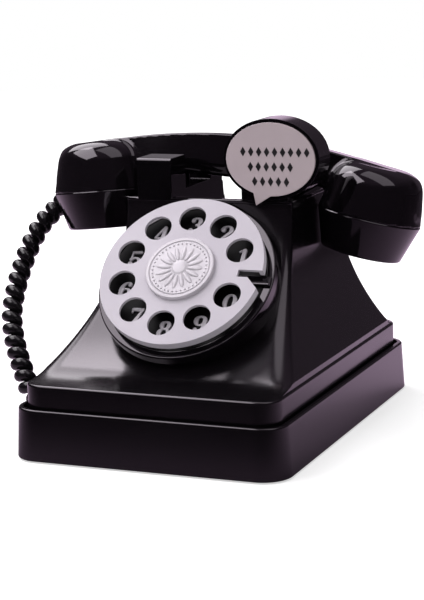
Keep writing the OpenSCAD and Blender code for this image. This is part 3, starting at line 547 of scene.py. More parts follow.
def finishPiece(piece, body, slot, *replaced):
    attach(piece, body)
    if replaced:
        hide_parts(*replaced)
    return piece


def turning(axis, degrees):
    return Matrix.Rotation(math.radians(degrees), 4, axis)


# Curly cord from the handset's boot to the base's boot

handsetCups = {"reach": 76.6, "tilt": 9, "radius": 27.9, "height": 27, "taper": 3, "shoulder": 10}
handsetRest = {"spot": (-0.1, 26.4, 115.977), "yaw": 3, "roll": 4, "lean": -6, "leanHeight": 17.3}
handsetTurn = turning("Z", handsetRest["yaw"]) @ turning("Y", handsetRest["roll"])
handsetPlace = (Matrix.Translation(handsetRest["spot"]) @ handsetTurn
                @ Matrix.Translation((0, 0, handsetRest["leanHeight"])) @ turning("X", handsetRest["lean"])
                @ Matrix.Translation((0, 0, -handsetRest["leanHeight"])))


def cupPlace(side):
    shift = Matrix.Translation((side * handsetCups["reach"], 0, 0))
    return handsetPlace @ shift @ turning("Y", side * handsetCups["tilt"])


cordLook = {
    "thickness": 6.6,
    "lead": 6.2,  # straight run out of each boot
    "curls": 20,
    "curlRadius": 2.7,
    "rampLength": 9.0,
    "pointsPerCurl": 24,
    "sides": 16,
    "samples": 12,  # points measured on each span of the route
    "peek": 0.05,  # share of a span to either side that gives the direction
    "bootLength": 9.0,
    "bootTurn": 150,
    "bootDip": 140,
    "bootSeat": (27.1, 0, 10.5),
    "baseEnd": (-82, -46, 14),
    "route": [(-111, 27, 109), (-115, 18, 102), (-119, 10, 91), (-121, 0, 77), (-120, -12, 62),
              (-117, -20, 51), (-110, -29, 39), (-102, -37, 29), (-95, -43, 20)],
}
bootPlace = (cupPlace(-1) @ turning("Z", cordLook["bootTurn"]) @ Matrix.Translation(cordLook["bootSeat"])
             @ turning("Y", cordLook["bootDip"]))


def cordPoints(look):
    lead = look["lead"]
    leave = [bootPlace @ Vector((0, 0, look["bootLength"] + run)) for run in (0, lead)]
    end = Vector(look["baseEnd"])
    knots = leave + [Vector(p) for p in look["route"]] + [end - Vector((lead, 0, 0)), end]
    spans = len(knots) - 1

    def along(s):
        i = min(spans - 1, int(s))
        t = s - i
        if i in (0, spans - 1):  # straight out of both boots
            return knots[i].lerp(knots[i + 1], t)
        a, b, c, d = knots[i - 1:i + 3]
        return 0.5 * (2 * b + (c - a) * t + (2 * a - 5 * b + 4 * c - d) * t * t
                      + (3 * b - a - 3 * c + d) * t * t * t)

    share = np.linspace(0, spans, look["samples"] * spans + 1)
    line = [along(s) for s in share]
    walk = np.concatenate([[0], np.cumsum([(q - p).length for p, q in zip(line, line[1:])])])
    total = float(walk[-1])
    points = []
    count = look["curls"] * look["pointsPerCurl"]
    for i in range(count + 1):
        run = total * i / count
        s = float(np.interp(run, walk, share))
        ahead = (along(min(spans, s + look["peek"])) - along(max(0, s - look["peek"]))).normalized()
        side = ahead.cross(Vector((0, 1, 0))).normalized()
        ramp = min(1, max(0, min(run, total - run) - lead) / look["rampLength"])
        a = math.tau * i / look["pointsPerCurl"]
        out = math.cos(a) * side - math.sin(a) * ahead.cross(side)
        points.append(along(s) + look["curlRadius"] * ramp * out)
    return points


def geometryTree(name, **inputs):
    kinds = {"Geometry": "Geometry", **inputs, "Finish": "Material"}
    return newTree(name, "Geometry", kinds, {"Geometry": "Geometry"})


def endTree(tree, given, result, shape):  # every tree ends in real mesh with its finish
    real, smooth, coat = addNodes(tree, "GeometryNode", "RealizeInstances", "SetShadeSmooth", "SetMaterial")
    feed(tree, real.inputs["Geometry"], shape)
    wire(tree, (real, "Geometry", smooth, "Geometry"), (smooth, "Geometry", coat, "Geometry"),
         (given, "Finish", coat, "Material"), (coat, "Geometry", result, "Geometry"))


def makeTubeTree():
    tree, given, result = geometryTree("cordTube", Thickness="Float", Sides="Int")
    line, ring, tube = addNodes(tree, "GeometryNode", "MeshToCurve", "CurvePrimitiveCircle", "CurveToMesh")
    tube.inputs["Fill Caps"].default_value = True
    feed(tree, ring.inputs["Radius"], mathOf(tree, "MULTIPLY", given.outputs["Thickness"], 0.5))
    wire(tree, (given, "Geometry", line, "Mesh"), (given, "Sides", ring, "Resolution"),
         (line, "Curve", tube, "Curve"), (ring, "Curve", tube, "Profile Curve"))
    endTree(tree, given, result, tube.outputs["Mesh"])
    return tree


def grow(piece, tree, **values):  # runs a node tree on a piece and keeps its mesh
    modifier = piece.modifiers.new(tree.name, "NODES")
    modifier.node_group = tree
    values["Finish"] = piece.data.materials[0]
    for item in tree.interface.items_tree:  # a named input is set by its identifier
        if item.in_out == "INPUT" and item.name in values:
            modifier[item.identifier] = values[item.name]
    return settle(piece)


def makeCord(look):
    points = cordPoints(look)
    piece = meshPiece("curlyCord", points, [], "cordJacket", [(i, i + 1) for i in range(len(points) - 1)])
    grow(piece, makeTubeTree(), Thickness=look["thickness"] * mm, Sides=look["sides"])
    faceOut(piece)
    shade(piece, 50, weighted=False)
    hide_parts("handset_cord")
    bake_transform(piece)


makeCord(cordLook)

# Base tray: a drafted tub with a round rim

tray = {"halfWidth": 75, "halfDepth": 106.2, "corner": 14.8, "bottom": 0.5, "top": 27.1, "draft": 1.5,
        "rim": 1.0, "heel": 0.7, "wall": 2.6, "floor": 2.9, "footSpots": (58, 90.2), "footHole": 6.3,
        "footDepth": 1.9, "screwSpots": (57, 70), "screwHole": 3.3, "socketX": 40, "socketZ": 13.5,
        "socketHalf": (6.1, 5.1), "socketReach": (-8, 5), "straight": 3, "bootReach": 10,
        "bootY": -46, "bootZ": 14, "bootHole": 4.05}


def tierRing(look, height, inset=0):
    inward = inset + look["draft"] * (height - look["bottom"]) / (look["top"] - look["bottom"])
    depth = look["halfDepth"] - inward
    return roundedRing(look["halfWidth"] - inward, -depth, depth, look["corner"] - inward, height)


def roundEdge(radius, steps):  # drop and inset of each step round an edge, from the wall to the top
    turns = [math.radians(90 * k / steps) for k in range(steps + 1)]
    return [(radius * (1 - math.sin(a)), radius * (1 - math.cos(a))) for a in turns]


def makeTray():
    low, top, wall = tray["bottom"], tray["top"], tray["wall"]
    rings = [tierRing(tray, low + rise, inset) for rise, inset in roundEdge(tray["heel"], 5)[::-1]]
    rings += [tierRing(tray, z) for z in np.linspace(low + tray["straight"], top - tray["straight"], 6)]
    rings += [tierRing(tray, top - drop, inset) for drop, inset in roundEdge(tray["rim"], 5)]
    rings += [tierRing(tray, top, wall), tierRing(tray, tray["floor"], wall)]
    piece = lofted("trayTub", rings)
    cutters = []
    holes = ((tray["footSpots"], tray["footHole"], tray["footDepth"]),
             (tray["screwSpots"], tray["screwHole"], tray["floor"] + 1))
    for sx, sy in ((-1, -1), (-1, 1), (1, -1), (1, 1)):
        for (x, y), radius, high in holes:
            rod = rodPiece("rodCut", radius, -1, high)
            cutters.append(placed(rod, Matrix.Translation((sx * x, sy * y, 0))))
    x, z, (w, h) = tray["socketX"], tray["socketZ"], tray["socketHalf"]
    corners = ((x - w, z - h), (x + w, z - h), (x + w, z + h), (x - w, z + h))
    cutters.append(lofted("socketCut", [[(cx, tray["halfDepth"] + reach, cz) for cx, cz in corners]
                                        for reach in tray["socketReach"]]))
    bootSpot = Matrix.Translation((-tray["halfWidth"], tray["bootY"], tray["bootZ"]))
    rod = rodPiece("bootCut", tray["bootHole"], -tray["bootReach"], tray["bootReach"])
    cutters.append(placed(rod, bootSpot @ turning("Y", 90)))
    cutAway(piece, cutters)
    shade(piece, 28)
    finishPiece(piece, "base", "black_plastic", "base_tray")


makeTray()
print("tray made")

# Tower: upper tier and flared housing in one moulding, with the dial's drum

tower = {"foot": 39.0, "top": 121.6, "deck": 123.6, "halfTop": 47.5, "sideFlare": 22.8, "sideBend": 2.55,
         "halfMost": 68.3, "frontTop": -13.5, "frontFlare": 70.5, "frontBend": 2.07, "frontToe": 15.5,
         "backTop": 58.0, "backFlare": 33.6, "backBend": 1.35, "backToe": 7.9, "toeFall": 1.2,
         "cornerTop": 3.5, "cornerFoot": 10.0, "cornerBend": 1.5, "levels": 110, "levelBend": 2.4}
tier = {"halfWidth": 69.5, "halfDepth": 100.7, "corner": 12.0, "bottom": 20.1, "top": 39.0, "draft": 0,
        "edge": 1.2, "straight": 2}
dialSeat = {"centre": (0, -49.403, 92.111), "tilt": 46.433, "drumOuter": 47.6, "drumInner": 44.9,
            "drumLow": -30.0, "drumTop": -13.6, "boreCut": 46.2, "bezelCut": 48.45, "bezelFloor": -13.6,
            "boreSink": 8, "cutTop": 60, "drumEdge": 0.4}
handHold = {"half": 21.8,
            "outline": [(-9.7, 121.4), (64, 109.4), (64, 130), (-9.7, 130)]}  # depth and height
dialPlace = Matrix.Translation(dialSeat["centre"]) @ turning("X", dialSeat["tilt"])


def towerRing(z):
    flare = max(0, (tower["deck"] - z) / (tower["deck"] - tower["foot"]))
    toe = math.exp(-(z - tower["foot"]) / tower["toeFall"])
    half = min(tower["halfTop"] + tower["sideFlare"] * flare ** tower["sideBend"], tower["halfMost"])
    front = tower["frontTop"] - tower["frontFlare"] * flare ** tower["frontBend"]
    front -= tower["frontToe"] * toe
    back = tower["backTop"] + tower["backFlare"] * flare ** tower["backBend"] + tower["backToe"] * toe
    corner = tower["cornerTop"] + (tower["cornerFoot"] - tower["cornerTop"]) * flare ** tower["cornerBend"]
    return roundedRing(half, front, back, corner, z)


def makeTower():
    straightTop = tier["top"] - tier["edge"] - tier["straight"]
    rings = [tierRing(tier, z) for z in np.linspace(tier["bottom"], straightTop, 5)]
    rings += [tierRing(tier, tier["top"] - drop, inset) for drop, inset in roundEdge(tier["edge"], 6)]
    rise = tower["top"] - tower["foot"]
    rings += [towerRing(tower["foot"] + rise * (i / tower["levels"]) ** tower["levelBend"])
              for i in range(1, tower["levels"] + 1)]
    piece = lofted("towerSkin", rings)
    low, top = dialSeat["drumLow"], dialSeat["drumTop"]
    inner, outer = dialSeat["drumInner"], dialSeat["drumOuter"]
    bore = rodPiece("boreCut", dialSeat["boreCut"], low - dialSeat["boreSink"], dialSeat["cutTop"])
    seat = rodPiece("seatCut", dialSeat["bezelCut"], dialSeat["bezelFloor"], dialSeat["cutTop"])
    hold = lofted("holdCut", [[(side * handHold["half"], y, z) for y, z in handHold["outline"]]
                              for side in (-1, 1)])
    cutAway(piece, [placed(bore, dialPlace), placed(seat, dialPlace), hold])
    profile = fillet([(inner, low, 0), (outer, low, 0), (outer, top, dialSeat["drumEdge"]),
                      (inner, top, 0)])
    drum = turned("drum", profile, "blackGloss", 160, closed=True)
    placed(drum, dialPlace)
    fuse(piece, drum)
    shade(piece, 26)
    finishPiece(piece, "base", "black_plastic", "body_shell")


makeTower()
print("tower made")

# Cradle, sign and small CAD forms with softened edges

softEdged = {
    "cradleDeck": {"node": "cradle", "width": 0.5, "front": {"width": 1.6, "y": -13.4, "z": 122.5}},
    "signCase": {"node": "sign_housing", "width": 0.5},
    "signRear": {"node": "sign_back", "width": 0.4},
    "signFace": {"node": "sign_plate", "width": 0.3, "finish": "signCard", "slot": "sign_card"},
    "stopArm": {"node": "finger_stop", "width": 0.4},
    "cordBootTop": {"node": "cord_boot_handset", "width": 0.5, "finish": "blackSatin", "body": "handset"},
    "cordBootLow": {"node": "cord_boot_base", "width": 0.5, "finish": "blackSatin"},
}
for name, look in softEdged.items():
    piece = mergedCopy(name, look["node"], look.get("finish", "blackGloss"))
    shade(bevelled(piece, look["width"], look.get("front")), 30)
    finishPiece(piece, look.get("body", "base"), look.get("slot", "black_plastic"), look["node"])
print("cradle and sign softened")

# Plain ornament on the sign: rows of lozenges

signRows = {
    "front": (37.6, -16.25, 145.6),  # middle of the plate's face
    "pitch": 4.4,
    "size": (1.5, 2.5, 0.2),  # half width, half height, thickness
    "rows": [(9, 2.6, 3.9), (6, 0.0, -3.8), (5, 0.0, -11.5)],  # count, shift to the right, height
}


def makeLozengeTree():
    tree, given, result = geometryTree("lozengeRow", Count="Int", Start="Vector", Step="Vector",
                                       Size="Vector")
    line = addNode(tree, "GeometryNodeMeshLine", mode="OFFSET")
    lozenge = addNode(tree, "GeometryNodeMeshCylinder", Vertices=4, Radius=1.0, Depth=1.0)
    copies = addNode(tree, "GeometryNodeInstanceOnPoints")
    copies.inputs["Rotation"].default_value = (math.radians(90), 0, 0)
    wire(tree, (given, "Count", line, "Count"), (given, "Start", line, "Start Location"),
         (given, "Step", line, "Offset"), (line, "Mesh", copies, "Points"),
         (lozenge, "Mesh", copies, "Instance"), (given, "Size", copies, "Scale"))
    endTree(tree, given, result, copies.outputs["Instances"])
    return tree


def makeSignRows(look):
    tree = makeLozengeTree()
    x, y, z = look["front"]
    made = []
    for count, shift, height in look["rows"]:
        start = (x + shift - look["pitch"] * (count - 1) / 2, y, z + height)
        made.append(grow(emptyPiece("lozenges", "signInk"), tree, Count=count,
                         Start=[v * mm for v in start], Step=[look["pitch"] * mm, 0.0, 0.0],
                         Size=[v * mm for v in look["size"]]))
    piece = fuse(*made)
    piece.name = "signOrnament"
    shade(piece, 30)
    finishPiece(piece, "base", "black_plastic")


makeSignRows(signRows)
print("sign ornament made")

# Dial bezel: the ring under the finger wheel

bezel = {"outer": 48.2, "low": -13.6, "top": -8.1, "inner": 43.8, "edge": 0.8, "innerEdge": 0.4}
ring = fillet([(bezel["inner"], bezel["low"], 0), (bezel["outer"], bezel["low"], 0),
               (bezel["outer"], bezel["top"], bezel["edge"]),
               (bezel["inner"], bezel["top"], bezel["innerEdge"])], closed=True)
piece = shade(placed(turned("dialRim", ring, "blackGloss", 180, closed=True), dialPlace), 28)
finishPiece(piece, "base", "black_plastic", "dial_bezel")

# Numbers on the plate: strokes with thick stems and thin hairlines

holeRing = {"count": 10, "circle": 32.1, "firstAngle": 25.0, "stepAngle": 34.444}  # of holes and numbers
numberLook = {"thin": 0.95, "thick": 2.5, "rise": 0.9, "plateTop": -8.4, "shift": (-1.0, 0.6), "grid": 0.28,
              "edge": 0.2, "reach": (4.6, 6.2, 1.4)}


def bow(cx, cy, rx, ry, start, end, steps=22):  # a curved stroke, thick where it runs upright
    points = []
    for k in range(steps + 1):
        a = math.radians(start + (end - start) * k / steps)
        width = numberLook["thin"] + (numberLook["thick"] - numberLook["thin"]) * math.cos(a) ** 2
        points.append((cx + rx * math.cos(a), cy + ry * math.sin(a), width))
    return points


def bar(x0, y0, w0, x1, y1, w1):
    return [(x0, y0, w0), (x1, y1, w1)]


def ball(x, y, width):
    return [(x, y, width), (x + 0.01, y, width)]


numberStrokes = {
    "1": [bar(0.4, -4.5, 2.4, 0.4, 4.2, 2.4), bar(-2.0, -4.9, 0.8, 2.8, -4.9, 0.8),
          bar(0.2, 4.8, 0.9, -2.2, 3.3, 1.0)],
    "2": [bow(0, 2.2, 2.5, 2.5, 165, -35), ball(-2.0, 2.5, 2.6), bar(1.9, 0.9, 1.9, -2.6, -3.9, 1.1),
          bar(-2.7, -4.3, 1.5, 2.7, -4.3, 1.9), bar(2.8, -4.2, 0.9, 3.0, -2.4, 0.9)],
    "3": [bow(0, 2.6, 2.2, 2.2, 150, -90), bow(0, -2.1, 2.7, 2.6, 90, -150), ball(-1.9, 3.1, 2.3),
          ball(-2.3, -2.9, 2.6)],
    "4": [bar(1.2, -4.4, 2.4, 1.2, 4.6, 2.4), bar(0.6, 4.8, 1.1, -3.2, -1.6, 1.1),
          bar(-3.2, -1.8, 1.0, 3.2, -1.8, 1.0), bar(-0.4, -4.9, 0.8, 2.8, -4.9, 0.8)],
    "5": [bar(-1.9, 4.2, 1.6, 2.4, 4.5, 1.6), bar(-2.1, 4.3, 1.0, -2.3, 0.4, 1.0),
          bow(-0.1, -1.8, 2.7, 2.7, 145, -150), ball(-2.3, -2.7, 2.5)],
    "6": [bow(0.1, -2.0, 2.5, 2.6, 0, 360), bow(0.7, -0.4, 3.2, 4.7, 62, 182), ball(1.9, 3.2, 2.3)],
    "7": [bar(-2.6, 4.1, 1.8, 2.8, 4.1, 1.8), bar(-2.9, 4.4, 0.9, -2.9, 2.3, 0.9),
          bar(2.5, 3.8, 1.2, -0.6, -4.4, 2.6)],
    "8": [bow(0, 2.5, 2.0, 2.1, 0, 360), bow(0, -2.2, 2.6, 2.5, 0, 360)],
    "9": [bow(-0.1, 2.0, 2.5, 2.6, 0, 360), bow(-0.7, 0.4, 3.2, 4.7, 242, 362), ball(-1.9, -3.2, 2.3)],
    "0": [bow(0, 0, 2.7, 4.3, 0, 360)],
}


def numberField(strokes):
    def field(p):
        flat = np.full(len(p), farOff)
        for stroke in strokes:
            for (x0, y0, w0), (x1, y1, w1) in zip(stroke, stroke[1:]):
                dx, dy = x1 - x0, y1 - y0
                t = np.clip(((p[:, 0] - x0) * dx + (p[:, 1] - y0) * dy) / (dx * dx + dy * dy), 0, 1)
                gap = np.hypot(p[:, 0] - x0 - t * dx, p[:, 1] - y0 - t * dy)
                flat = np.minimum(flat, gap - 0.5 * (w0 + (w1 - w0) * t))
        return roundMax(flat, np.abs(p[:, 2]) - numberLook["rise"], numberLook["edge"])
    return field


def makeNumbers(look):
    made = []
    for k, digit in enumerate("1234567890"):
        piece, _ = isoPiece("number" + digit, numberField(numberStrokes[digit]),
                            [-v for v in look["reach"]], look["reach"], look["grid"], "numberInk", 2)
        a = math.radians(holeRing["firstAngle"] + holeRing["stepAngle"] * k)
        spot = (holeRing["circle"] * math.cos(a) + look["shift"][0],
                holeRing["circle"] * math.sin(a) + look["shift"][1], look["plateTop"])
        made.append(placed(piece, dialPlace @ Matrix.Translation(spot)))
    numbers = fuse(*made)
    numbers.name = "dialNumbers"
    shade(numbers, 50, weighted=False)
    finishPiece(numbers, "base", "silver_plastic")


makeNumbers(numberLook)
print("bezel and numbers made")

# Finger wheel: outline with its notch, holes by rule, then thickness

wheel = {"radius": 44.5, "thickness": 4.5, "web": 1.8, "rim": 2.4, "edge": 0.6, "hubRadius": 8.0,
         "hubLow": -7.5, "hubSink": 0.05, "cutDepth": 1, "holeRadius": 7.4, "shaft": 3.0,
         "outlineSteps": 220, "notch": {"low": -2.35, "high": 1.95, "depth": 31.5, "slant": 37.3}}


def wheelOutline(look):  # round edge, broken by a notch whose lower side slants at 45 degrees
    radius, notch = look["radius"], look["notch"]
    reach = notch["slant"] + notch["low"]
    half = math.sqrt(2 * radius * radius - reach * reach)
    start = math.asin(notch["high"] / radius)
    end = math.tau + math.atan2(reach - half, reach + half)
    turns = np.linspace(start, end, look["outlineSteps"] + 1)
    points = [(radius * math.cos(a), radius * math.sin(a)) for a in turns]
    return points + [(notch["slant"], notch["low"]), (notch["depth"], notch["low"]),
                     (notch["depth"], notch["high"])]


def makeWheelTree():
    tree, given, result = geometryTree("fingerWheelRule", **{
        "Holes": "Int", "Hole Radius": "Float", "Hole Circle": "Float", "First Angle": "Float",
        "Step Angle": "Float", "Thickness": "Float"})
    outline, spots, index, copies, loose = addNodes(
        tree, "GeometryNode", "MeshToCurve", "Points", "InputIndex", "InstanceOnPoints", "RealizeInstances")
    both, fill, thick, flip, closed = addNodes(
        tree, "GeometryNode", "JoinGeometry", "FillCurve", "ExtrudeMesh", "FlipFaces", "JoinGeometry")
    direction = addNode(tree, "ShaderNodeCombineXYZ")
    reach = addNode(tree, "ShaderNodeVectorMath", operation="SCALE")
    circle = addNode(tree, "GeometryNodeCurvePrimitiveCircle", Resolution=64)
    thick.inputs["Individual"].default_value = False
    weld = addNode(tree, "GeometryNodeMergeByDistance", Distance=0.00001)
    angle = mathOf(tree, "MULTIPLY_ADD", index.outputs["Index"], given.outputs["Step Angle"],
                   given.outputs["First Angle"])
    feed(tree, direction.inputs["X"], mathOf(tree, "COSINE", angle))
    feed(tree, direction.inputs["Y"], mathOf(tree, "SINE", angle))
    wire(tree, (given, "Geometry", outline, "Mesh"), (given, "Holes", spots, "Count"),
         (direction, "Vector", reach, 0), (given, "Hole Circle", reach, "Scale"),
         (reach, "Vector", spots, "Position"), (given, "Hole Radius", circle, "Radius"),
         (spots, "Points", copies, "Points"), (circle, "Curve", copies, "Instance"),
         (copies, "Instances", loose, "Geometry"), (outline, "Curve", both, "Geometry"),
         (loose, "Geometry", both, "Geometry"), (both, "Geometry", fill, "Curve"),
         (fill, "Mesh", thick, "Mesh"), (given, "Thickness", thick, "Offset Scale"),
         (fill, "Mesh", flip, "Mesh"), (thick, "Mesh", closed, "Geometry"),
         (flip, "Mesh", closed, "Geometry"), (closed, "Geometry", weld, "Geometry"))
    endTree(tree, given, result, weld.outputs["Geometry"])
    return tree


def makeWheel(look):
    outline = wheelOutline(look)
    piece = meshPiece("fingerWheel", [(x, y, 0) for x, y in outline], [], "silverSatin",
                      [(i, (i + 1) % len(outline)) for i in range(len(outline))])
    grow(piece, makeWheelTree(), **{
        "Holes": holeRing["count"], "Hole Radius": look["holeRadius"] * mm,
        "Hole Circle": holeRing["circle"] * mm, "First Angle": math.radians(holeRing["firstAngle"]),
        "Step Angle": math.radians(holeRing["stepAngle"]), "Thickness": look["thickness"] * mm})
    placed(faceOut(piece), Matrix.Translation((0, 0, -look["thickness"])))
    below, web = -look["thickness"] - look["cutDepth"], -look["web"]
    cutAway(piece, [rodPiece("webCut", look["radius"] - look["rim"], below, web, "silverSatin", 180)])
    with openMesh(piece) as net:
        flatten(net)
    bevelled(piece, look["edge"], segments=4, degrees=40)
    low, top, bore, wide = look["hubLow"], web + look["hubSink"], look["shaft"], look["hubRadius"]
    profile = [(bore, low), (wide, low), (wide, top), (bore, top)]
    fuse(piece, turned("hub", profile, "silverSatin", 64, closed=True))
    shade(piece, 30)
    placed(piece, dialPlace)
    finishPiece(piece, "dial", "silver_plastic", "finger_wheel")


makeWheel(wheel)
print("finger wheel made")

# Medallion with a plain fluted rosette

medallion = {"radius": 18.5, "thickness": 2.4, "edge": 0.5, "groove": 16.3, "grooveHalf": 0.45,
             "grooveDepth": 0.35, "petals": 16, "petalCircle": 8.6, "petalSize": (4.4, 1.35, 0.55),
             "beads": 40, "beadCircle": 14.6, "beadSize": 0.5, "button": 3.4, "buttonFoot": 1.2,
             "buttonRise": (0.5, 0.9), "buttonEdge": 0.3, "shaft": 3.0, "bottom": 0.4}


def makeRosetteTree():
    tree, given, result = geometryTree("rosetteRule", Count="Int", Circle="Float", Size="Vector",
                                       Height="Float")
    circle, place, lift, copies = addNodes(
        tree, "GeometryNode", "MeshCircle", "InputPosition", "SetPosition", "InstanceOnPoints")
    aim = addNode(tree, "FunctionNodeAlignRotationToVector", axis="X")
    height = addNode(tree, "ShaderNodeCombineXYZ")
    leaf = addNode(tree, "GeometryNodeMeshUVSphere", Segments=16, Rings=8, Radius=1.0)
    wire(tree, (given, "Count", circle, "Vertices"), (given, "Circle", circle, "Radius"),
         (place, "Position", aim, "Vector"), (circle, "Mesh", copies, "Points"),
         (leaf, "Mesh", copies, "Instance"), (aim, "Rotation", copies, "Rotation"),
         (given, "Size", copies, "Scale"), (given, "Height", height, "Z"),
         (copies, "Instances", lift, "Geometry"), (height, "Vector", lift, "Offset"))
    endTree(tree, given, result, lift.outputs["Geometry"])
    return tree


def makeMedallion(look):
    top, groove, half, button = look["thickness"], look["groove"], look["grooveHalf"], look["button"]
    rim, crown = (top + rise for rise in look["buttonRise"])
    profile = fillet([(look["shaft"], 0, 0), (look["radius"], 0, 0), (look["radius"], top, look["edge"]),
                      (groove + half, top, 0), (groove, top - look["grooveDepth"], 0),
                      (groove - half, top, 0), (button + look["buttonFoot"], top, 0),
                      (button, rim, look["buttonEdge"]), (0, crown, 0)])
    profile += [(0, look["bottom"]), (look["shaft"], look["bottom"])]
    piece = turned("medallion", profile, "medallionSilver", 128)
    tree = makeRosetteTree()
    extras = []
    for count, circle, size in ((look["petals"], look["petalCircle"], look["petalSize"]),
                                (look["beads"], look["beadCircle"], (look["beadSize"],) * 3)):
        extras.append(grow(emptyPiece("relief", "medallionSilver"), tree, Count=count, Circle=circle * mm,
                           Size=[s * mm for s in size], Height=top * mm))
    fuse(piece, *extras)
    shade(piece, 35, weighted=False)
    placed(piece, dialPlace)
    finishPiece(piece, "dial", "silver_plastic", "dial_medallion")


makeMedallion(medallion)
print("medallion made")

# Handset: two cups and an arched handle in one moulding

handle = {"archRadius": 310, "archTop": 37.3, "stripHalf": 7.0, "gripHalf": 10.0, "gripDepth": 20.0,
          "chamfer": 5.0, "bottomHalf": 6.5, "belly": 3.4, "bellyHalf": 42.0, "end": 102.3, "endEdge": 4.0,
          "stripEdge": 0.9, "blend": 3.0, "wall": 3.0, "hollowEnd": 83.5, "grid": 1.0, "bore": 21.9,
          "boreDepth": 17.0, "rimEdge": 0.5, "sideEdge": 2.5, "bottomEdge": 2.0,
          "reach": ((-109, -31, -8), (109, 31, 41))}


def handsetField(p):
    x, y, z = p.T
    width = np.abs(y)
    rho = np.hypot(x, z + handle["archRadius"] - handle["archTop"])
    depth = handle["archRadius"] - rho
    swell = handle["belly"] * np.clip(1 - (x / handle["bellyHalf"]) ** 2, 0, 1) ** 2  # fuller in the middle
    low = handle["gripDepth"] + swell
    widest = low - handle["chamfer"]
    flare = handle["gripHalf"] - handle["stripHalf"]
    side = ((width - handle["stripHalf"]) * widest - depth * flare) / np.hypot(flare, widest)
    draw = handle["gripHalf"] - handle["bottomHalf"]
    lower = (width - handle["gripHalf"]) * handle["chamfer"] + (depth - widest) * draw
    lower = lower / math.hypot(handle["chamfer"], draw)
    grip = roundMax(roundMax(side, lower, handle["sideEdge"]), depth - low, handle["bottomEdge"])
    grip = roundMax(grip, -depth, handle["stripEdge"])
    grip = roundMax(grip, np.abs(x) - handle["end"], handle["endEdge"])
    body = grip
    bores = np.full(len(p), farOff)
    for hand in (-1, 1):
        tilt = math.radians(hand * handsetCups["tilt"])
        away = x - hand * handsetCups["reach"]
        cx = away * math.cos(tilt) - z * math.sin(tilt)
        cz = z * math.cos(tilt) + away * math.sin(tilt)
        r = np.hypot(cx, y)
        lean = math.atan2(handsetCups["taper"], handsetCups["height"] - handsetCups["shoulder"] - 1)
        wall = (r - handsetCups["radius"]) * math.cos(lean) + cz * math.sin(lean)
        cup = roundMax(wall, cz - handsetCups["height"], handsetCups["shoulder"])
        cup = roundMax(cup, -cz, handle["rimEdge"])
        body = softMin(body, cup, handle["blend"])
        bores = np.minimum(bores, np.maximum(r - handle["bore"], cz - handle["boreDepth"]))
    body = np.maximum(body, -bores)
    return np.maximum(body, -np.maximum(grip + handle["wall"], np.abs(x) - handle["hollowEnd"]))


def makeHandset():
    piece, slopes = isoPiece("handsetShell", handsetField, *handle["reach"], handle["grid"], "blackGloss")
    bearNormals(piece, slopes)
    placed(piece, handsetPlace)
    finishPiece(piece, "handset", "black_plastic", "handset_body")


makeHandset()

# Tapered caps with their sound holes

caps = {"height": 20.8, "face": 21.4, "edge": 1.6, "seam": 0.5, "inset": 0.35, "wall": 2.0, "spigot": 21.7,
        "spigotHeight": 5.0, "rebate": 4.0, "hole": 1.1, "holeRings": (1, 6, 12)}


def makeCap(name, side, node, look):
    wide, low, inner = handsetCups["radius"], -look["height"], look["spigot"] - look["wall"]
    profile = fillet([(0, low, 0), (look["face"], low, look["edge"]), (wide, -look["seam"], look["seam"]),
                      (wide - look["inset"], 0, 0), (look["spigot"], 0, 0),
                      (look["spigot"], look["spigotHeight"], 0), (inner, look["spigotHeight"], 0),
                      (inner, -look["rebate"], 0), (look["face"] - look["wall"], low + look["wall"], 0),
                      (0, low + look["wall"], 0)])
    piece = turned(name, profile, "blackGloss", 144)
    holes = []
    for ring, count in enumerate(look["holeRings"]):
        out = Matrix.Translation((ring * look["face"] / len(look["holeRings"]), 0, 0))
        for k in range(count):
            hole = rodPiece("soundHole", look["hole"], low - 1, low + look["wall"] + 1, steps=24)
            holes.append(placed(hole, turning("Z", 360 / count * k) @ out))
    cutAway(piece, holes)
    shade(piece, 30)
    placed(piece, cupPlace(side))
    finishPiece(piece, "handset", "black_plastic", node)


makeCap("earCap", -1, "ear_cap", caps)
makeCap("mouthCap", 1, "mouth_cap", caps)
print("handset made")

# Every other CAD node keeps its shape and gets its finish

nodeFinishes = {
    "blackGloss": ["hook_plunger"],
    "plateBlack": ["number_plate"],
    "blackSatin": ["line_socket", "hook_switch", "pulse_contacts"],
    "platedSteel": ["base_screws", "ballast_plate", "cradle_screws", "hook_spring", "hook_bracket",
                    "dial_frame", "dial_screws", "governor_post", "return_spring", "dial_shaft",
                    "sign_screws", "ringer", "receiver_capsule", "microphone_capsule"],
    "turnedBrass": ["dial_bush", "drive_gear", "pulse_cam", "governor"],
    "footRubber": ["rubber_feet"],
    "boardLacquer": ["circuit_board"],
}
for finish, names in nodeFinishes.items():
    for name in names:
        paint(nodes[name].data, materials[finish])

# Floor, lamps and backdrop

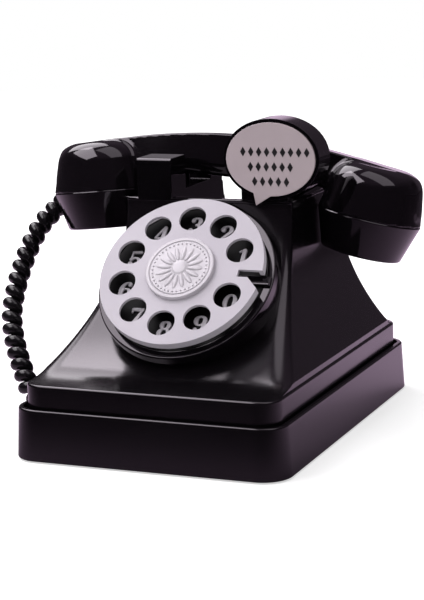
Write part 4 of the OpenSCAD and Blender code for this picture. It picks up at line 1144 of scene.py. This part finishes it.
studio = {
    "floorRadius": 2200,
    "floorDrop": 0.3,
    "floorColor": 0.80,
    "floorLift": (0.55, 1.0),  # added for the camera near the object and far from it
    "liftReach": (0.25, 0.9),
    "floorMirror": (0.02, 0.9),  # floor's level in gloss, in front and behind
    "mirrorReach": (-0.26, 0.21),
    "mirrorFade": (0.30, 0.70),
    "fadeLevels": (1.0, 0.1),
    "mirrorTint": (1.0, 0.76, 1.0),
    "roomLevel": 0.35,
    "roomMirror": (0.04, 0.09),  # room in gloss, in front and behind
    "roomReach": (0.3, 0.95),
    "ceilingMirror": 0.10,
    "ceilingReach": (0.4, 0.8),
    "panelMirror": 0.9,  # bright panel in gloss, behind on the left
    "panelAim": (-0.241, 0.967, 0.087),
    "panelFade": (0.9816, 0.9925),
    "lampAim": (0, 0, 0.06),
    "lampColor": (1.0, 0.965, 1.0),
}
lamps = {  # azimuth is measured from the front, to the right
    "sideBox": {"azimuth": -127, "elevation": 49, "roll": -5, "distance": 0.94, "size": (0.50, 0.68),
                "power": 3.7},
    "mainBox": {"azimuth": -57, "elevation": 56, "roll": -9, "distance": 0.70, "size": (0.76, 0.38),
                "power": 3.5},
    "fillBox": {"azimuth": 72, "elevation": 68.8, "roll": -6, "distance": 1.25, "size": (0.73, 1.43),
                "power": 3.7},
}


def makeFloor(look):
    piece = turned("floor", [(0, -look["floorDrop"]), (look["floorRadius"], -look["floorDrop"])],
                   "blackSatin", 96)
    material = bpy.data.materials.new("paleFloor")
    material.use_nodes = True
    tree = material.node_tree
    place = addNode(tree, "ShaderNodeTexCoord")
    split = addNode(tree, "ShaderNodeSeparateXYZ")
    away = addNode(tree, "ShaderNodeVectorMath", operation="LENGTH")
    rays = addNode(tree, "ShaderNodeLightPath").outputs
    tinted = addNode(tree, "ShaderNodeVectorMath", operation="SCALE")
    tinted.inputs[0].default_value = look["mirrorTint"]
    wire(tree, (place, "Object", split, "Vector"), (place, "Object", away, 0))
    behind = rampOf(tree, split.outputs["Y"], look["mirrorReach"], look["floorMirror"])
    near = rampOf(tree, away.outputs["Value"], look["mirrorFade"], look["fadeLevels"])
    feed(tree, tinted.inputs["Scale"], mathOf(tree, "MULTIPLY", behind, near))
    direct = mathOf(tree, "MAXIMUM", rays["Is Camera Ray"], rays["Is Transmission Ray"])
    lift = rampOf(tree, away.outputs["Value"], look["liftReach"], look["floorLift"])
    pale = (look["floorColor"],) * 3 + (1,)
    sockets = {
        "Roughness": 0.9,
        "Specular IOR Level": 0.0,
        "Emission Color": (1, 1, 1, 1),
        "Base Color": mixOf(tree, "RGBA", rays["Is Glossy Ray"], pale, tinted.outputs["Vector"]),
        "Emission Strength": mathOf(tree, "MULTIPLY", direct, lift),
    }
    for entry, value in sockets.items():
        feed(tree, tree.nodes["Principled BSDF"].inputs[entry], value)
    paint(piece.data, material)
    for face in piece.data.polygons:
        if face.normal.z < 0:
            face.flip()


def addLamp(name, look):
    data = bpy.data.lights.new(name, "AREA")
    data.shape = "RECTANGLE"
    data.size, data.size_y = look["size"]
    data.energy = look["power"]
    data.color = studio["lampColor"]
    lamp = bpy.data.objects.new(name, data)
    scene.collection.objects.link(lamp)
    az, el = math.radians(look["azimuth"]), math.radians(look["elevation"])
    aim = Vector((math.sin(az) * math.cos(el), -math.cos(az) * math.cos(el), math.sin(el)))
    lamp.location = Vector(studio["lampAim"]) + aim * look["distance"]
    spin = Matrix.Rotation(math.radians(look["roll"]), 3, "Z")
    lamp.rotation_euler = (aim.to_track_quat("Z", "Y").to_matrix() @ spin).to_euler()


def makeBackdrop(look):
    world = bpy.data.worlds.new("studioRoom")
    world.use_nodes = True
    scene.world = world
    tree = world.node_tree
    tree.nodes.clear()
    rays = addNode(tree, "ShaderNodeLightPath").outputs
    place = addNode(tree, "ShaderNodeTexCoord")
    split = addNode(tree, "ShaderNodeSeparateXYZ")
    toward = addNode(tree, "ShaderNodeVectorMath", operation="DOT_PRODUCT")
    toward.inputs[1].default_value = look["panelAim"]
    room = addNode(tree, "ShaderNodeBackground")
    out = addNode(tree, "ShaderNodeOutputWorld")
    wire(tree, (place, "Generated", split, "Vector"), (place, "Generated", toward, 0),
         (room, "Background", out, "Surface"))
    walls = rampOf(tree, split.outputs["Y"], look["roomReach"], look["roomMirror"])
    ceiling = rampOf(tree, split.outputs["Z"], look["ceilingReach"], (0, look["ceilingMirror"]))
    panel = rampOf(tree, toward.outputs["Value"], look["panelFade"], (0, look["panelMirror"]))
    mirror = mathOf(tree, "ADD", mathOf(tree, "ADD", walls, ceiling), panel)
    inGloss = mixOf(tree, "FLOAT", rays["Is Glossy Ray"], look["roomLevel"], mirror)
    seen = mathOf(tree, "MAXIMUM", rays["Is Camera Ray"], rays["Is Transmission Ray"])
    tint = mixOf(tree, "RGBA", rays["Is Glossy Ray"], (1, 1, 1, 1), (*look["mirrorTint"], 1))
    feed(tree, room.inputs["Color"], tint)
    feed(tree, room.inputs["Strength"], mixOf(tree, "FLOAT", seen, inGloss, 1.0))


makeFloor(studio)
for name, look in lamps.items():
    addLamp(name, look)
makeBackdrop(studio)
print("studio set")
